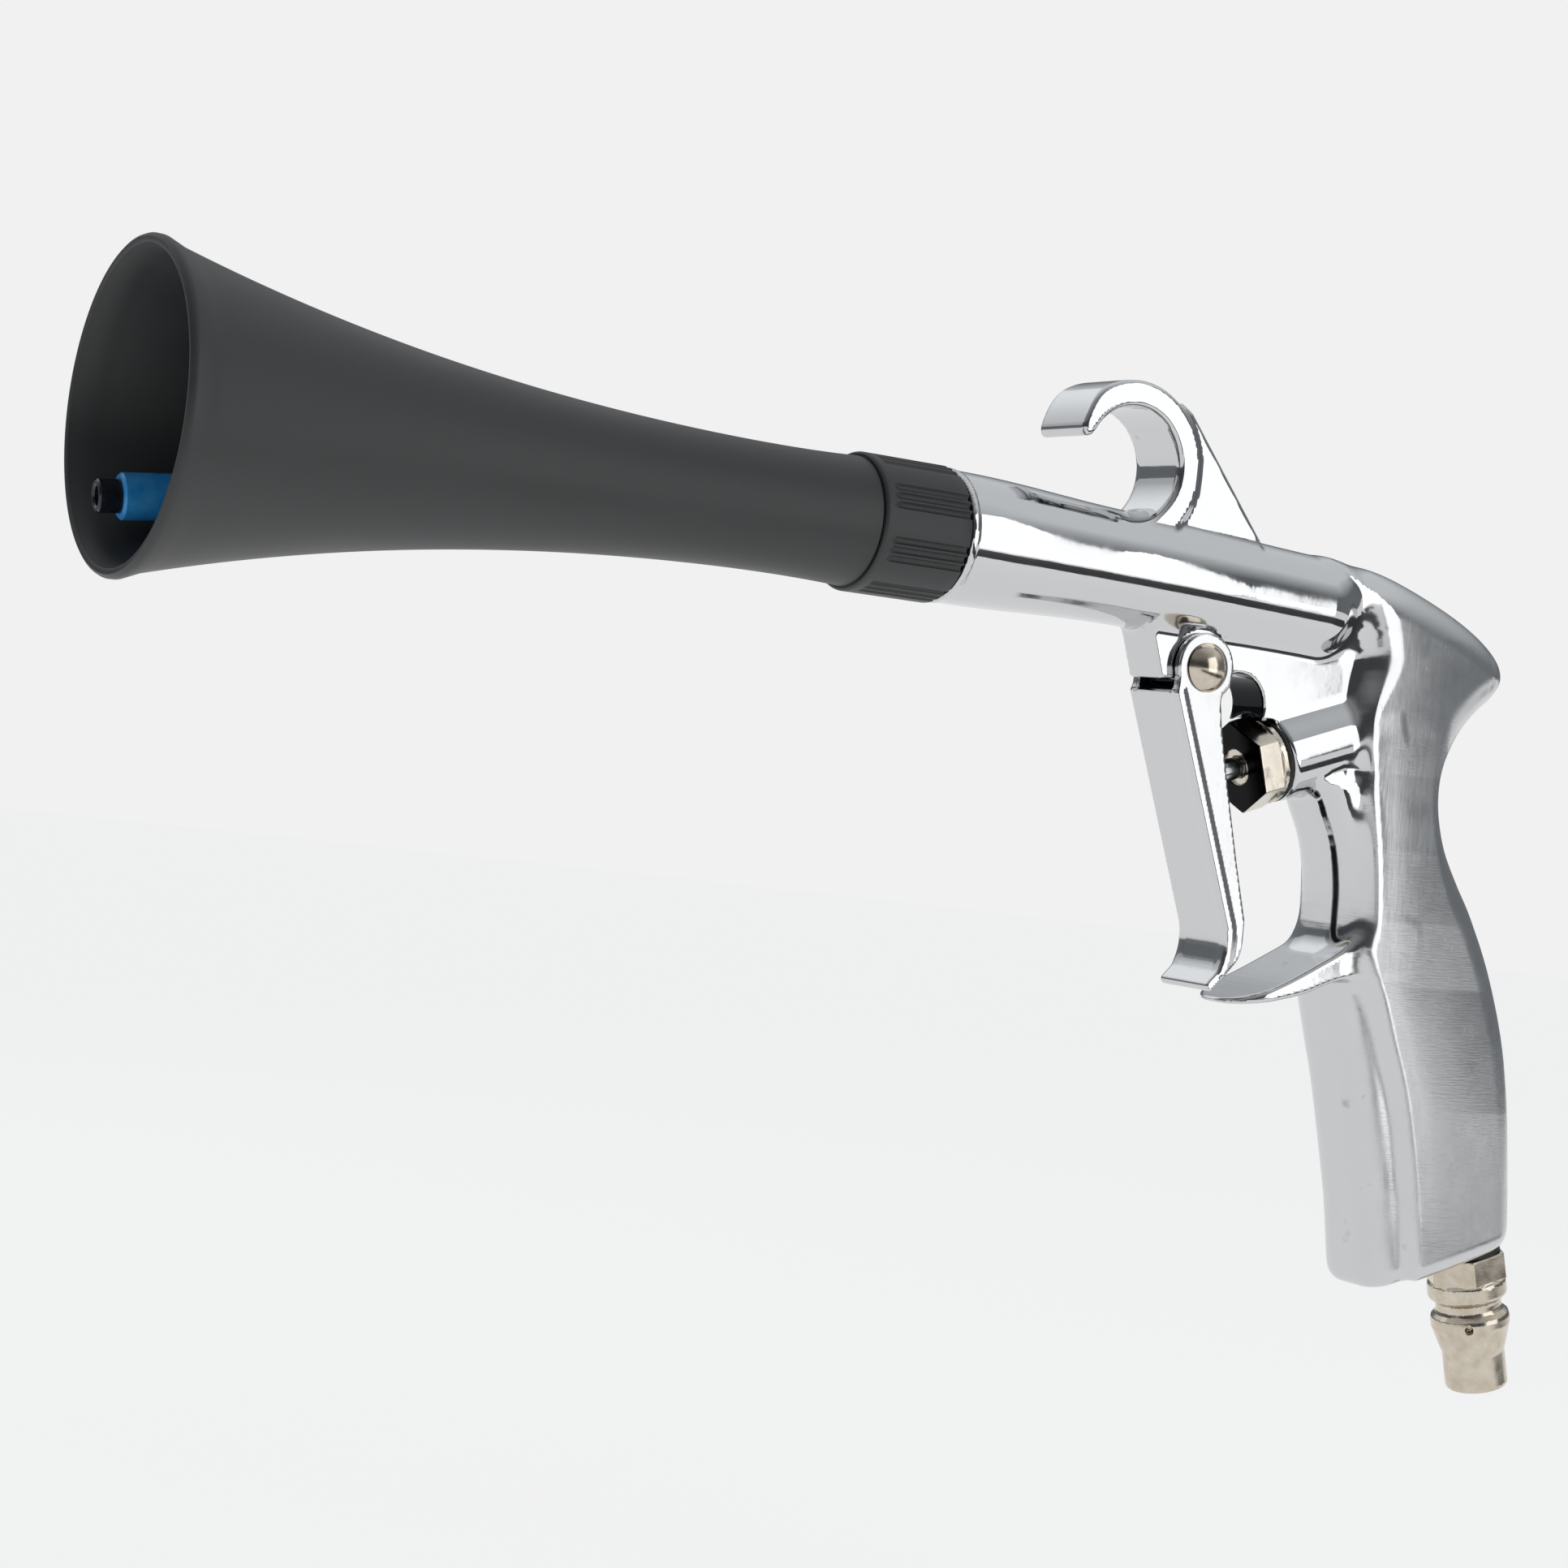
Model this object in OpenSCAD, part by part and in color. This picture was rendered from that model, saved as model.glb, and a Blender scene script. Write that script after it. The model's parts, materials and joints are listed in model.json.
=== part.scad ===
// Compressed-air blow-dry gun for car drying: a cast pistol body, a lever valve,
// and a nylon tube that whirls inside a flared cone.
// Origin: centre of the hanging hook's eye. +X points to the rear, +Y to the right
// side of someone who holds the gun, +Z up. Millimetres.

/* [Cone] */
// Radius of the mouth, outside
mouth_r = 25.6; // [20:0.2:32]
// Radius of the narrow neck, outside
neck_r = 10.4; // [10.2:0.1:11.4]
// Length from the mouth to the clamp collar
cone_len = 127.3; // [90:0.1:160]
// How sharply the cone flares towards the mouth
flare_power = 2.45; // [1.8:0.05:3.2]
// Wall of the cone
cone_wall = 1.7; // [1.2:0.1:2]

/* [Clamp collar] */
// Outside radius of the collar nut
collar_r = 11.8; // [11.8:0.1:14]
// Length of the collar nut
collar_len = 17.4; // [16:0.1:24]
// Depth of each finger groove in the collar
collar_groove = 0.5; // [0.2:0.1:0.7]

/* [Barrel] */
// Distance of the barrel's axis below the hook's eye
axis_drop = 17; // [16:0.5:24]
// Distance of the barrel's front shoulder ahead of the hook's eye
barrel_reach = 36; // [30:0.5:60]
// Radius of the barrel at its front shoulder
barrel_front_r = 11.6; // [11.5:0.1:13]
// Radius of the barrel under the hook
barrel_r = 10.1; // [9.4:0.1:12]
// Radius of the air bore
air_bore_r = 4; // [2.5:0.5:5]
// Radius of the threaded spigot that the collar screws on
spigot_r = 10; // [9.6:0.1:10]
// Length of the threaded spigot
spigot_len = 10.5; // [8:0.5:11]

/* [Swivel] */
// Outside radius of each ball bearing
bearing_r = 6.5; // [6:0.1:6.5]
// Bore radius of each ball bearing
bearing_bore_r = 3; // [2:0.1:3]
// Width of each ball bearing
bearing_w = 5; // [4:0.1:5]
// Radius of the bearing balls
ball_r = 1; // [0.7:0.05:1]
// Number of balls in each bearing
ball_count = 9; // [6:1:9]
// Gap between the two bearings
bearing_gap = 3; // [1:0.5:4]
// Outside radius of the whirl tube
tube_r = 2.6; // [2:0.1:2.9]
// Bore radius of the whirl tube
tube_bore_r = 1.6; // [1:0.1:1.8]
// Distance of the tube's tip from the barrel's axis
tube_swing = 17; // [8:0.5:19]
// Angle of the tube round the barrel's axis, from straight down to the right side
tube_turn = 40; // [0:5:355]
// Outside radius of the weight sleeve on the tube
sleeve_r = 3.6; // [3.2:0.1:4.2]
// Length of the weight sleeve
sleeve_len = 24; // [10:1:40]
// Distance of the weight sleeve from the tube's tip
sleeve_setback = 3.6; // [2:0.2:8]

/* [Hook] */
// Radius of the hook's eye
eye_r = 10.25; // [8:0.25:12]
// Thickness of the hook's band
band_t = 4.5; // [3:0.25:6]
// Width of the hook
hook_w = 13.5; // [8:0.5:16]

/* [Trigger] */
// Width of the web that the trigger straddles
web_w = 9.4; // [8.6:0.2:11]
// Thickness of the trigger's metal
trigger_t = 1.8; // [1.4:0.1:2.4]
// Radius of the pivot pin
pin_r = 2; // [1.5:0.1:2.5]
// Radius of the trigger's ears
ear_r = 6.2; // [5:0.1:6.4]
// Radius of the pin's domed heads
head_r = 4.4; // [3.6:0.1:5]
// Height of the pin's domed heads
head_h = 2.4; // [1.5:0.1:3]

/* [Valve] */
// Upward tilt of the valve's axis
valve_tilt = 18.4; // [16:0.2:20]
// Radius of the valve boss
boss_r = 8.2; // [8:0.1:9.5]
// Width of the gland nut across its flats
gland_af = 15; // [13:0.5:15]
// Thread radius of the gland nut
gland_r = 6; // [5.6:0.1:6.2]
// Radius of the valve stem
stem_r = 2; // [1.5:0.1:2.2]
// Travel of the valve stem
stem_travel = 4; // [2:0.5:5]
// Wire radius of the valve spring
wire_r = 0.45; // [0.3:0.05:0.6]
// Number of coils in the valve spring
coils = 6; // [4:1:7]

/* [Grip] */
// Width of the grip
grip_w = 21.6; // [20:0.2:26]
// Distance of the tail behind the hook's eye
tail_reach = 95.5; // [92:0.5:104]
// Distance of the saddle for the web of the thumb behind the hook's eye
saddle_reach = 81.5; // [79:0.5:88]
// Distance of the heel behind the hook's eye
heel_reach = 112; // [108:0.5:118]
// Rake of the grip's lower end and of the air plug
rake = 16; // [14:0.5:18]
// Length of the finger shelf ahead of the grip
shelf_len = 25; // [18:0.5:27]
// Width of the finger shelf
shelf_w = 17; // [12:0.5:18]

/* [Air plug] */
// Radius of the plug's nose
nose_r = 6; // [5:0.1:6.5]
// Radius of the plug's locking collar
lock_r = 7.6; // [7.4:0.1:8.5]
// Width of the plug's hexagon across its flats
plug_af = 14; // [14:0.5:16]
// Thread radius of the plug
plug_thread_r = 6.55; // [5.5:0.05:6.55]
// Radius of the plug's air bore
plug_bore_r = 3.75; // [2.5:0.25:4]

/* [Hidden] */
$fn = 72;

// Clearances
fit = 0.05;            // a part pushed or screwed into another
run = 0.08;            // a shaft that turns or slides in its hole
side = 0.25;           // between faces that pass each other

// Stations along the barrel, from the mouth to the rear
axis_z = -axis_drop;
shoulder_x = -barrel_reach;
collar_front_x = shoulder_x - 0.3 - collar_len;
mouth_x = collar_front_x - side - cone_len;
spigot_x = shoulder_x - spigot_len;
gasket_t = 0.8;
flange_t = 1.6;
flange_x = spigot_x - gasket_t - flange_t;
sleeve_fit_r = 1.1;    // wall of the housing round the bearings
housing_r = bearing_r + sleeve_fit_r;
throat_r = housing_r + 0.2;
cone_neck_r = throat_r + 1.2;
flange_r = cone_neck_r + 0.9;
droop = 2.2;           // downward tilt of the barrel behind the hook
barrel_tail = 47;      // length of the drooping stretch

// Stations of the swivel
housing_x = spigot_x - 13;
clip_w = 0.8;
front_bearing_x = housing_x + 1 + clip_w;
rear_bearing_x = front_bearing_x + bearing_w + bearing_gap;
shelf_x = rear_bearing_x + bearing_w;
housing_end_x = shoulder_x - 1;
hub_flange_r = bearing_bore_r + 1.3;
socket_len = 10;
hub_nose_x = housing_x - 1 - socket_len;
pitch_r = (bearing_r + bearing_bore_r) / 2;
race_gap = 0.6;

// The whirl tube leans out of the hub's nose and crosses the barrel's axis halfway down its socket
lean_x = hub_nose_x + socket_len / 2;
tube_reach = lean_x - mouth_x - 1;
tube_lean = atan(tube_swing / tube_reach);
tube_arm = norm([tube_reach, tube_swing]);

// Trigger and pivot
pivot_x = 20.8;
pivot_z = axis_z - 16.4;
lug_r = 5.3;
plate_lean = 22.6;     // lean of the trigger's front plate
plate_top = [15.2, axis_z - 21.4];
plate_len = 46.5;
ear_gap = web_w + 2 * side;
trigger_w = ear_gap + 2 * trigger_t;
head_y = trigger_w / 2 + 0.2;    // inner side of the pin's domed heads

// Valve stations along its axis, from the boss face
boss_x = 42.3;
boss_z = axis_z - 31;
seal_t = 1.1;
gland_flange_t = 1.2;
gland_hex_t = 5;
gland_front = -(seal_t + gland_flange_t + gland_hex_t);
gland_depth = 9;
seat_t = 1;
chamber_r = gland_r - 0.9;
seat_bore_r = 3;
poppet_r = chamber_r - 0.7;
poppet_seal_t = 1;
poppet_t = 1.6;
poppet_x = gland_depth + seat_t + fit;
spring_x = poppet_x + poppet_seal_t + poppet_t;
// The closed coils, the travel and 3 mm to spare make the spring's length at rest
spring_len = 2 * wire_r * coils + stem_travel + 3;
chamber_end = spring_x + spring_len + 0.1;
boss_len = chamber_end - 3;
// The stem's domed tip stops just short of the back of the trigger's front plate
to_plate = (boss_x - plate_top[0]) * cos(plate_lean) + (boss_z - plate_top[1]) * sin(plate_lean);
stem_reach = (to_plate - trigger_t) / cos(plate_lean - valve_tilt) - 0.35;

// Grip
heel = [heel_reach - 7.2, axis_z - 120];   // where the plug's axis leaves the grip
heel_depth = 11;
grip_sides = 28;
front_half = 8.2;

function cone_outer(x) = neck_r + (mouth_r - neck_r) * pow(1 - x / cone_len, flare_power)
    + 0.6 * pow(x / cone_len, 12);
function cone_inner(x) = max(throat_r, cone_outer(x) - cone_wall);

module on_barrel(x) {
    translate([x, 0, axis_z]) rotate([0, 90, 0]) children();
}

module on_valve(t) {
    translate([boss_x, 0, boss_z]) rotate([0, 90 - valve_tilt, 0]) translate([0, 0, t]) children();
}

module on_plug(s) {
    translate([heel[0], 0, heel[1]]) rotate([0, 180 - rake, 0]) translate([0, 0, s]) children();
}

module sideways(width) {
    rotate([90, 0, 0]) translate([0, 0, -width / 2]) linear_extrude(width) children();
}

module tube(outer, inner, len) {
    difference() {
        cylinder(r = outer, h = len);
        translate([0, 0, -1]) cylinder(r = inner, h = len + 2);
    }
}

module o_ring(centre_r, wire) {
    rotate_extrude() translate([centre_r, 0]) circle(r = wire, $fn = 32);
}

// ---- Casting -------------------------------------------------------------

// Each station of the grip: height, front, back, half width at the front, half width at the back
function grip_stations() = let (half = grip_w / 2) [
    [axis_z + 6.8, 50, 58, 2, 2],
    [axis_z + 5.2, 46, 64, 4.5, 4.5],
    [axis_z + 1.5, 46, 75, 7.5, 6.5],
    [axis_z - 2.8, 46, tail_reach - 8.5, 8.6, 7.2],
    [axis_z - 6.5, 47, tail_reach - 2, 9.2, 7.4],
    [axis_z - 10, 48, tail_reach, 9.6, 7.6],
    [axis_z - 14.7, 49, tail_reach - 2, 9.8, 8],
    [axis_z - 18.7, 49.5, tail_reach - 6.6, 9.8, 8.6],
    [axis_z - 24, 50, saddle_reach + 3, 9.6, 9.2],
    [axis_z - 32.5, 50.5, saddle_reach, 9.4, 9.6],
    [axis_z - 37.1, 51.5, saddle_reach + 0.3, 9.2, 9.8],
    [axis_z - 43.1, 54.5, saddle_reach + 2.6, 9, half - 0.6],
    [axis_z - 49, 56.8, saddle_reach + 6.6, 9, half - 0.3],
    [axis_z - 58, 58.2, saddle_reach + 14, 8.8, half],
    [axis_z - 66, 58.6, saddle_reach + 18.8, 8.6, half],
    [axis_z - 77.6, 61, heel_reach - 7, 8.4, half],
    [axis_z - 90.5, 65.7, heel_reach - 3.6, front_half, half],
    [axis_z - 108.7, 71, heel_reach - 0.8, front_half, half],
    [axis_z - 134, 79, heel_reach + 0.5, front_half, half]
];

// Outline of one station: two half circles joined by straight flanks
function grip_ring(s) = let (half = grip_sides / 2) [
    for (i = [0:grip_sides - 1])
        i < half
            ? let (a = -90 + 180 * i / (half - 1)) [s[2] - s[4] + s[4] * cos(a), s[4] * sin(a), s[0]]
            : let (a = 90 + 180 * (i - half) / (half - 1))
                [s[1] + s[3] + s[3] * cos(a), s[3] * sin(a), s[0]]
];

// A closed skin over a list of rings, the first one at the top
module skin(rings) {
    n = len(rings[0]);
    m = len(rings);
    polyhedron(
        points = [for (ring = rings) each ring],
        faces = concat(
            [[for (i = [n - 1:-1:0]) i]],
            [for (k = [0:m - 2], i = [0:n - 1], half = [0, 1])
                let (a = k * n + i, b = k * n + (i + 1) % n)
                half == 0 ? [a, b, a + n] : [b, b + n, a + n]],
            [[for (i = [0:n - 1]) (m - 1) * n + i]]
        ),
        convexity = 6
    );
}

module grip() {
    intersection() {
        skin([for (s = grip_stations()) grip_ring(s)]);
        on_plug(-200) translate([-150, -50, 0]) cube([300, 100, 200]);
    }
}

module barrel_wall() {
    on_barrel(shoulder_x) cylinder(r = barrel_front_r, h = 1.2);
    on_barrel(shoulder_x + 1) cylinder(r1 = barrel_front_r - 0.2, r2 = barrel_r, h = barrel_reach + 2);
    on_barrel(spigot_x) cylinder(r = spigot_r, h = spigot_len + 1);
    // Behind the hook the barrel droops and ends in a ball
    translate([0, 0, axis_z - 0.2]) rotate([0, 90 + droop, 0]) {
        translate([0, 0, -7]) cylinder(r = barrel_r, h = 7 + barrel_tail);
        translate([0, 0, barrel_tail]) sphere(r = barrel_r);
    }
}

module hook() {
    outer_r = eye_r + band_t;
    tip = 163;
    sideways(hook_w) {
        difference() {
            circle(r = outer_r);
            circle(r = eye_r);
            polygon([[0, 0], 30 * [cos(tip), sin(tip)], [-40, 0], [-40, -40], [-3, -40]]);
        }
        translate((eye_r + band_t / 2) * [cos(tip), sin(tip)]) circle(r = band_t / 2);
    }
    // Gusset between the hook and the barrel's top
    difference() {
        sideways(hook_w - 3) polygon([
            outer_r * [cos(38), sin(38)], [29.5, axis_z + 5.5], [0, axis_z + 5.5], [0, -eye_r]
        ]);
        sideways(hook_w + 2) circle(r = eye_r + band_t / 2);
    }
    sideways(hook_w - 1) difference() {
        polygon([[-2, axis_z + 5], [29, axis_z + 5], [12, -8], [2, -eye_r - 1]]);
        circle(r = eye_r + band_t / 2);
    }
}

module web() {
    difference() {
        sideways(web_w) polygon([
            [9.4, axis_z - 5], [10.4, axis_z - 12], [13.1, pivot_z - 2.8], [26, pivot_z - 2.8],
            [30, boss_z - 2], [62, boss_z - 2], [62, axis_z - 5]
        ]);
        translate([30.7, 0, pivot_z - 5.9]) rotate([90, 0, 0])
            cylinder(r = 5.85, h = web_w + 2, center = true);
        on_valve(-24) cylinder(r = boss_r + 0.8, h = 24);
    }
    translate([pivot_x, 0, pivot_z]) rotate([90, 0, 0]) cylinder(r = lug_r, h = web_w, center = true);
}

module valve_boss() {
    on_valve(0) cylinder(r = boss_r, h = boss_len);
}

module finger_shelf() {
    tip_x = 60.4 - shelf_len;
    root_z = axis_z - 62.4;
    intersection() {
        sideways(shelf_w) polygon([
            [66, root_z + 2], [61, root_z - 0.4], [53, root_z - 5], [45.5, root_z - 9.1],
            [tip_x + 2.6, root_z - 12.4], [tip_x, root_z - 13], [tip_x + 1, root_z - 13.7],
            [44.5, root_z - 12.2], [51, root_z - 10.4], [58, root_z - 7], [66, root_z - 3]
        ]);
        translate([0, 0, root_z - 20]) {
            translate([tip_x + shelf_w / 2, 0, 0]) cylinder(r = shelf_w / 2, h = 30);
            translate([tip_x + shelf_w / 2, -shelf_w / 2, 0]) cube([60, shelf_w, 30]);
        }
    }
}

// Air way: plug port, grip passage, valve chamber, riser, barrel bore
module air_way() {
    on_plug(-heel_depth) cylinder(r = plug_thread_r + fit, h = heel_depth + 1);
    port = [heel[0] - (heel_depth - 2) * sin(rake), 0, heel[1] + (heel_depth - 2) * cos(rake)];
    room = [boss_x + boss_len * cos(valve_tilt), 0, boss_z + boss_len * sin(valve_tilt)];
    way = room - port;
    translate(port) rotate([0, atan2(way[0], way[2]), 0]) cylinder(r = 3.5, h = norm(way));
    on_valve(-1) cylinder(r = gland_r + fit, h = gland_depth + seat_t + 1);
    on_valve(0) cylinder(r = chamber_r, h = chamber_end);
    riser_x = boss_x + 6.2 * cos(valve_tilt);
    translate([riser_x, 0, boss_z + 2]) cylinder(r = 2.6, h = 31 - 2);
    on_barrel(spigot_x - 1) cylinder(r = air_bore_r, h = barrel_reach + spigot_len + 52);
    on_barrel(spigot_x - 1) cylinder(r = housing_r + fit, h = spigot_len + 0.2);
}

module gun_body() {
    color("silver") difference() {
        union() {
            grip();
            barrel_wall();
            hook();
            web();
            valve_boss();
            finger_shelf();
        }
        air_way();
        translate([pivot_x, 0, pivot_z]) rotate([90, 0, 0])
            cylinder(r = pin_r + fit, h = web_w + 4, center = true);
        // Spot faces that the trigger's ears turn in
        for (s = [-1, 1]) translate([pivot_x, s * (web_w / 2 + 8), pivot_z]) rotate([90, 0, 0])
            cylinder(r = ear_r + 0.7, h = 16, center = true);
    }
}

// ---- Cone and collar -----------------------------------------------------

module cone() {
    steps = 26;
    outer = [for (i = [0:steps]) let (x = cone_len * i / steps) [cone_outer(x), x]];
    inner = [for (i = [steps:-1:0]) let (x = cone_len * i / steps) [cone_inner(x), x]];
    neck_end = flange_x - mouth_x;
    tail = [[cone_neck_r, cone_len], [cone_neck_r, neck_end], [flange_r, neck_end],
        [flange_r, neck_end + flange_t], [throat_r, neck_end + flange_t]];
    color("dimgray") on_barrel(mouth_x) rotate_extrude() polygon(concat(outer, tail, inner));
}

module cone_gasket() {
    color("black") on_barrel(spigot_x - gasket_t) tube(flange_r - 0.2, throat_r + 0.1, gasket_t);
}

module collar_nut() {
    rib = 360 / 8;
    color("dimgray") on_barrel(collar_front_x) difference() {
        cylinder(r = collar_r, h = collar_len);
        translate([0, 0, -1]) cylinder(r = cone_neck_r + 0.15, h = collar_len + 2);
        translate([0, 0, flange_x - collar_front_x - 0.1]) cylinder(r = spigot_r + 0.1, h = collar_len);
        // Eight groups of three finger grooves
        for (i = [0:7], j = [-1:1]) rotate(rib * i + 8 * j)
            translate([collar_r + 0.6 - collar_groove, 0, -1]) cylinder(r = 0.6, h = collar_len + 2);
    }
}

// ---- Swivel --------------------------------------------------------------

module swivel_housing() {
    seat = shelf_x - housing_x;
    len = housing_end_x - housing_x;
    color("darkgoldenrod") on_barrel(housing_x) difference() {
        cylinder(r = housing_r, h = len);
        translate([0, 0, -1]) cylinder(r = bearing_r + fit, h = seat + 1);
        translate([0, 0, seat - 1]) cylinder(r = bearing_r - 1.4, h = 2.4);
        translate([0, 0, seat]) cylinder(r = bearing_bore_r + run, h = len);
        // Groove for the retaining clip, groove for the seal
        translate([0, 0, 1]) cylinder(r = bearing_r + 0.5, h = clip_w);
        translate([0, 0, len - 4]) tube(housing_r + 1, housing_r - 1.2, 1.4);
        // Two slots for a pin spanner
        translate([-housing_r - 1, -1, -1]) cube([2 * housing_r + 2, 2, 1.7]);
    }
}

module housing_o_ring() {
    color("black") on_barrel(housing_end_x - 3.3) o_ring(housing_r - 0.6, 0.6);
}

module bearing_outer(x) {
    color("lightsteelblue") on_barrel(x) difference() {
        tube(bearing_r, pitch_r + race_gap, bearing_w);
        translate([0, 0, bearing_w / 2]) o_ring(pitch_r, ball_r + 0.03);
    }
}

module bearing_inner(x) {
    color("lightsteelblue") on_barrel(x) difference() {
        tube(pitch_r - race_gap, bearing_bore_r, bearing_w);
        translate([0, 0, bearing_w / 2]) o_ring(pitch_r, ball_r + 0.03);
    }
}

module bearing_balls(x) {
    color("silver") on_barrel(x + bearing_w / 2) for (i = [0:ball_count - 1])
        rotate(360 * i / ball_count) translate([pitch_r, 0, 0]) sphere(r = ball_r);
}

module bearing_cage(x) {
    wide = 2 * ball_r + 0.8;
    color("goldenrod") on_barrel(x + (bearing_w - wide) / 2) difference() {
        tube(pitch_r + 0.3, pitch_r - 0.3, wide);
        for (i = [0:ball_count - 1]) rotate(360 * i / ball_count)
            translate([pitch_r - 2, 0, wide / 2]) rotate([0, 90, 0]) cylinder(r = ball_r + fit, h = 4);
    }
}

module front_bearing_outer() { bearing_outer(front_bearing_x); }
module front_bearing_inner() { bearing_inner(front_bearing_x); }
module front_bearing_balls() { bearing_balls(front_bearing_x); }
module front_bearing_cage() { bearing_cage(front_bearing_x); }
module rear_bearing_outer() { bearing_outer(rear_bearing_x); }
module rear_bearing_inner() { bearing_inner(rear_bearing_x); }
module rear_bearing_balls() { bearing_balls(rear_bearing_x); }
module rear_bearing_cage() { bearing_cage(rear_bearing_x); }

module bearing_spacer() {
    color("gray") on_barrel(front_bearing_x + bearing_w)
        tube(bearing_bore_r + 1, bearing_bore_r, bearing_gap);
}

module housing_clip() {
    color("dimgray") on_barrel(housing_x + 1 + fit) difference() {
        tube(bearing_r + 0.4, bearing_r - 1, clip_w - 2 * fit);
        translate([-1.2, 0, -1]) cube([2.4, bearing_r + 1, clip_w + 2]);
    }
}

module hub_clip() {
    color("dimgray") on_barrel(shelf_x + fit) difference() {
        tube(bearing_bore_r + 0.8, bearing_bore_r - 0.4, 0.6);
        translate([-0.8, 0, -1]) cube([1.6, bearing_r, 3]);
    }
}

module swivel_hub() {
    hub_end = housing_end_x - hub_nose_x - 2;
    front = front_bearing_x - hub_nose_x;
    color("darkgoldenrod") difference() {
        on_barrel(hub_nose_x) {
            cylinder(r = hub_flange_r, h = front);
            cylinder(r = bearing_bore_r, h = hub_end);
        }
        along_tube(socket_len) cylinder(r = tube_r + fit, h = 1.5 * socket_len);
        on_barrel(hub_nose_x + socket_len - 2) cylinder(r = tube_bore_r, h = hub_end);
        on_barrel(shelf_x + fit) tube(bearing_bore_r + 1, bearing_bore_r - 0.4, 0.6);
    }
}

// Carries its children t along the whirl tube from the barrel's axis, with +Z pointing back to the hub
module along_tube(t) {
    on_barrel(lean_x) rotate(tube_turn) rotate([0, -tube_lean, 0]) translate([0, 0, -t]) children();
}

module whirl_tube() {
    color("slategray") along_tube(tube_arm) tube(tube_r, tube_bore_r, tube_arm + socket_len / 2);
}

module weight_sleeve() {
    color("dodgerblue") along_tube(tube_arm - sleeve_setback) tube(sleeve_r, tube_r + fit, sleeve_len);
}

// ---- Trigger -------------------------------------------------------------

// A point of the trigger's side view: along the front plate from its top, and behind the plate
function plate_point(along, behind) = plate_top
    + along * [sin(plate_lean), -cos(plate_lean)] + behind * [cos(plate_lean), sin(plate_lean)];

module trigger_side() {
    polygon([
        plate_point(0, 0), plate_point(plate_len, 0), plate_point(plate_len + 4, -1.4),
        plate_point(plate_len + 7.8, -5), plate_point(plate_len + 9.4, -4.2),
        plate_point(plate_len + 7.4, -1), plate_point(plate_len + 5, 1.8),
        plate_point(plate_len + 1, 4.3), plate_point(plate_len - 5, 5), plate_point(plate_len - 13, 5.6),
        plate_point(18, 7.2), plate_point(-1, 9.6), plate_point(-4, 9.4), [pivot_x - 3, pivot_z - 4]
    ]);
    translate([pivot_x, pivot_z]) circle(r = ear_r);
}

module trigger() {
    color("silver") difference() {
        sideways(trigger_w) trigger_side();
        // The channel behind the front plate, and the gap for the web
        sideways(ear_gap) polygon([
            plate_point(-14, trigger_t), plate_point(0, trigger_t), plate_point(plate_len - 4, trigger_t),
            plate_point(plate_len - 2, 12), plate_point(-14, 22)
        ]);
        sideways(ear_gap) polygon([
            plate_point(-0.01, -8), plate_point(-0.01, 14), plate_point(-20, 20), plate_point(-20, -8)
        ]);
        translate([pivot_x, 0, pivot_z]) rotate([90, 0, 0])
            cylinder(r = pin_r + run, h = 40, center = true);
    }
}

// A domed head with its flat side at z = 0
module dome(r, h) {
    ball = (r * r + h * h) / (2 * h);
    intersection() {
        translate([0, 0, h - ball]) sphere(r = ball);
        cylinder(r = r, h = h + 1);
    }
}

module pivot_pin() {
    color("tan") difference() {
        translate([pivot_x, 0, pivot_z]) rotate([90, 0, 0]) {
            translate([0, 0, head_y]) dome(head_r, head_h);
            translate([0, 0, -head_y + 0.5]) cylinder(r = pin_r, h = 2 * head_y);
        }
        translate([pivot_x, head_y + 1, pivot_z]) rotate([90, 0, 0]) cylinder(r = pin_r - 0.8 + fit, h = 7);
    }
}

module pivot_cap() {
    color("tan") translate([pivot_x, 0, pivot_z]) rotate([-90, 0, 0]) {
        translate([0, 0, head_y]) dome(head_r, head_h);
        translate([0, 0, head_y - 5]) cylinder(r = pin_r - 0.8, h = 6);
    }
}

// ---- Valve ---------------------------------------------------------------

module gland_nut() {
    color("tan") on_valve(gland_front) difference() {
        union() {
            cylinder(r = gland_af / 2 / cos(30), h = gland_hex_t, $fn = 6);
            translate([0, 0, gland_hex_t]) cylinder(r = boss_r - 0.2, h = gland_flange_t);
            cylinder(r = gland_r, h = gland_depth - gland_front);
        }
        translate([0, 0, -1]) cylinder(r = stem_r + run, h = 20);
        translate([0, 0, 2]) cylinder(r = stem_r + 1.7, h = 1.8);
        translate([0, 0, -gland_front + 2.5]) cylinder(r = gland_r - 1.4, h = gland_depth);
        translate([0, 0, -gland_front + 6.2]) for (a = [0, 90]) rotate(a) rotate([0, 90, 0])
            cylinder(r = 1.9, h = 20, center = true);
    }
}

module gland_o_ring() {
    color("black") on_valve(-seal_t / 2) o_ring(boss_r - 0.7, seal_t / 2);
}

module stem_o_ring() {
    color("black") on_valve(gland_front + 2.9) o_ring(stem_r + 0.85, 0.8);
}

module valve_seat() {
    color("ivory") on_valve(gland_depth) tube(gland_r, seat_bore_r, seat_t);
}

module valve_stem() {
    color("silver") on_valve(-stem_reach) {
        translate([0, 0, 1.2]) cylinder(r = stem_r, h = stem_reach - 1.2 + 2);
        intersection() {
            cylinder(r = stem_r, h = 1.3);
            translate([0, 0, 3]) sphere(r = 3);
        }
        translate([0, 0, 1]) cylinder(r = stem_r - 0.6, h = stem_reach + spring_x + 1.4);
    }
}

module poppet_seal() {
    color("black") on_valve(poppet_x) tube(poppet_r, stem_r - 0.6, poppet_seal_t);
}

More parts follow.
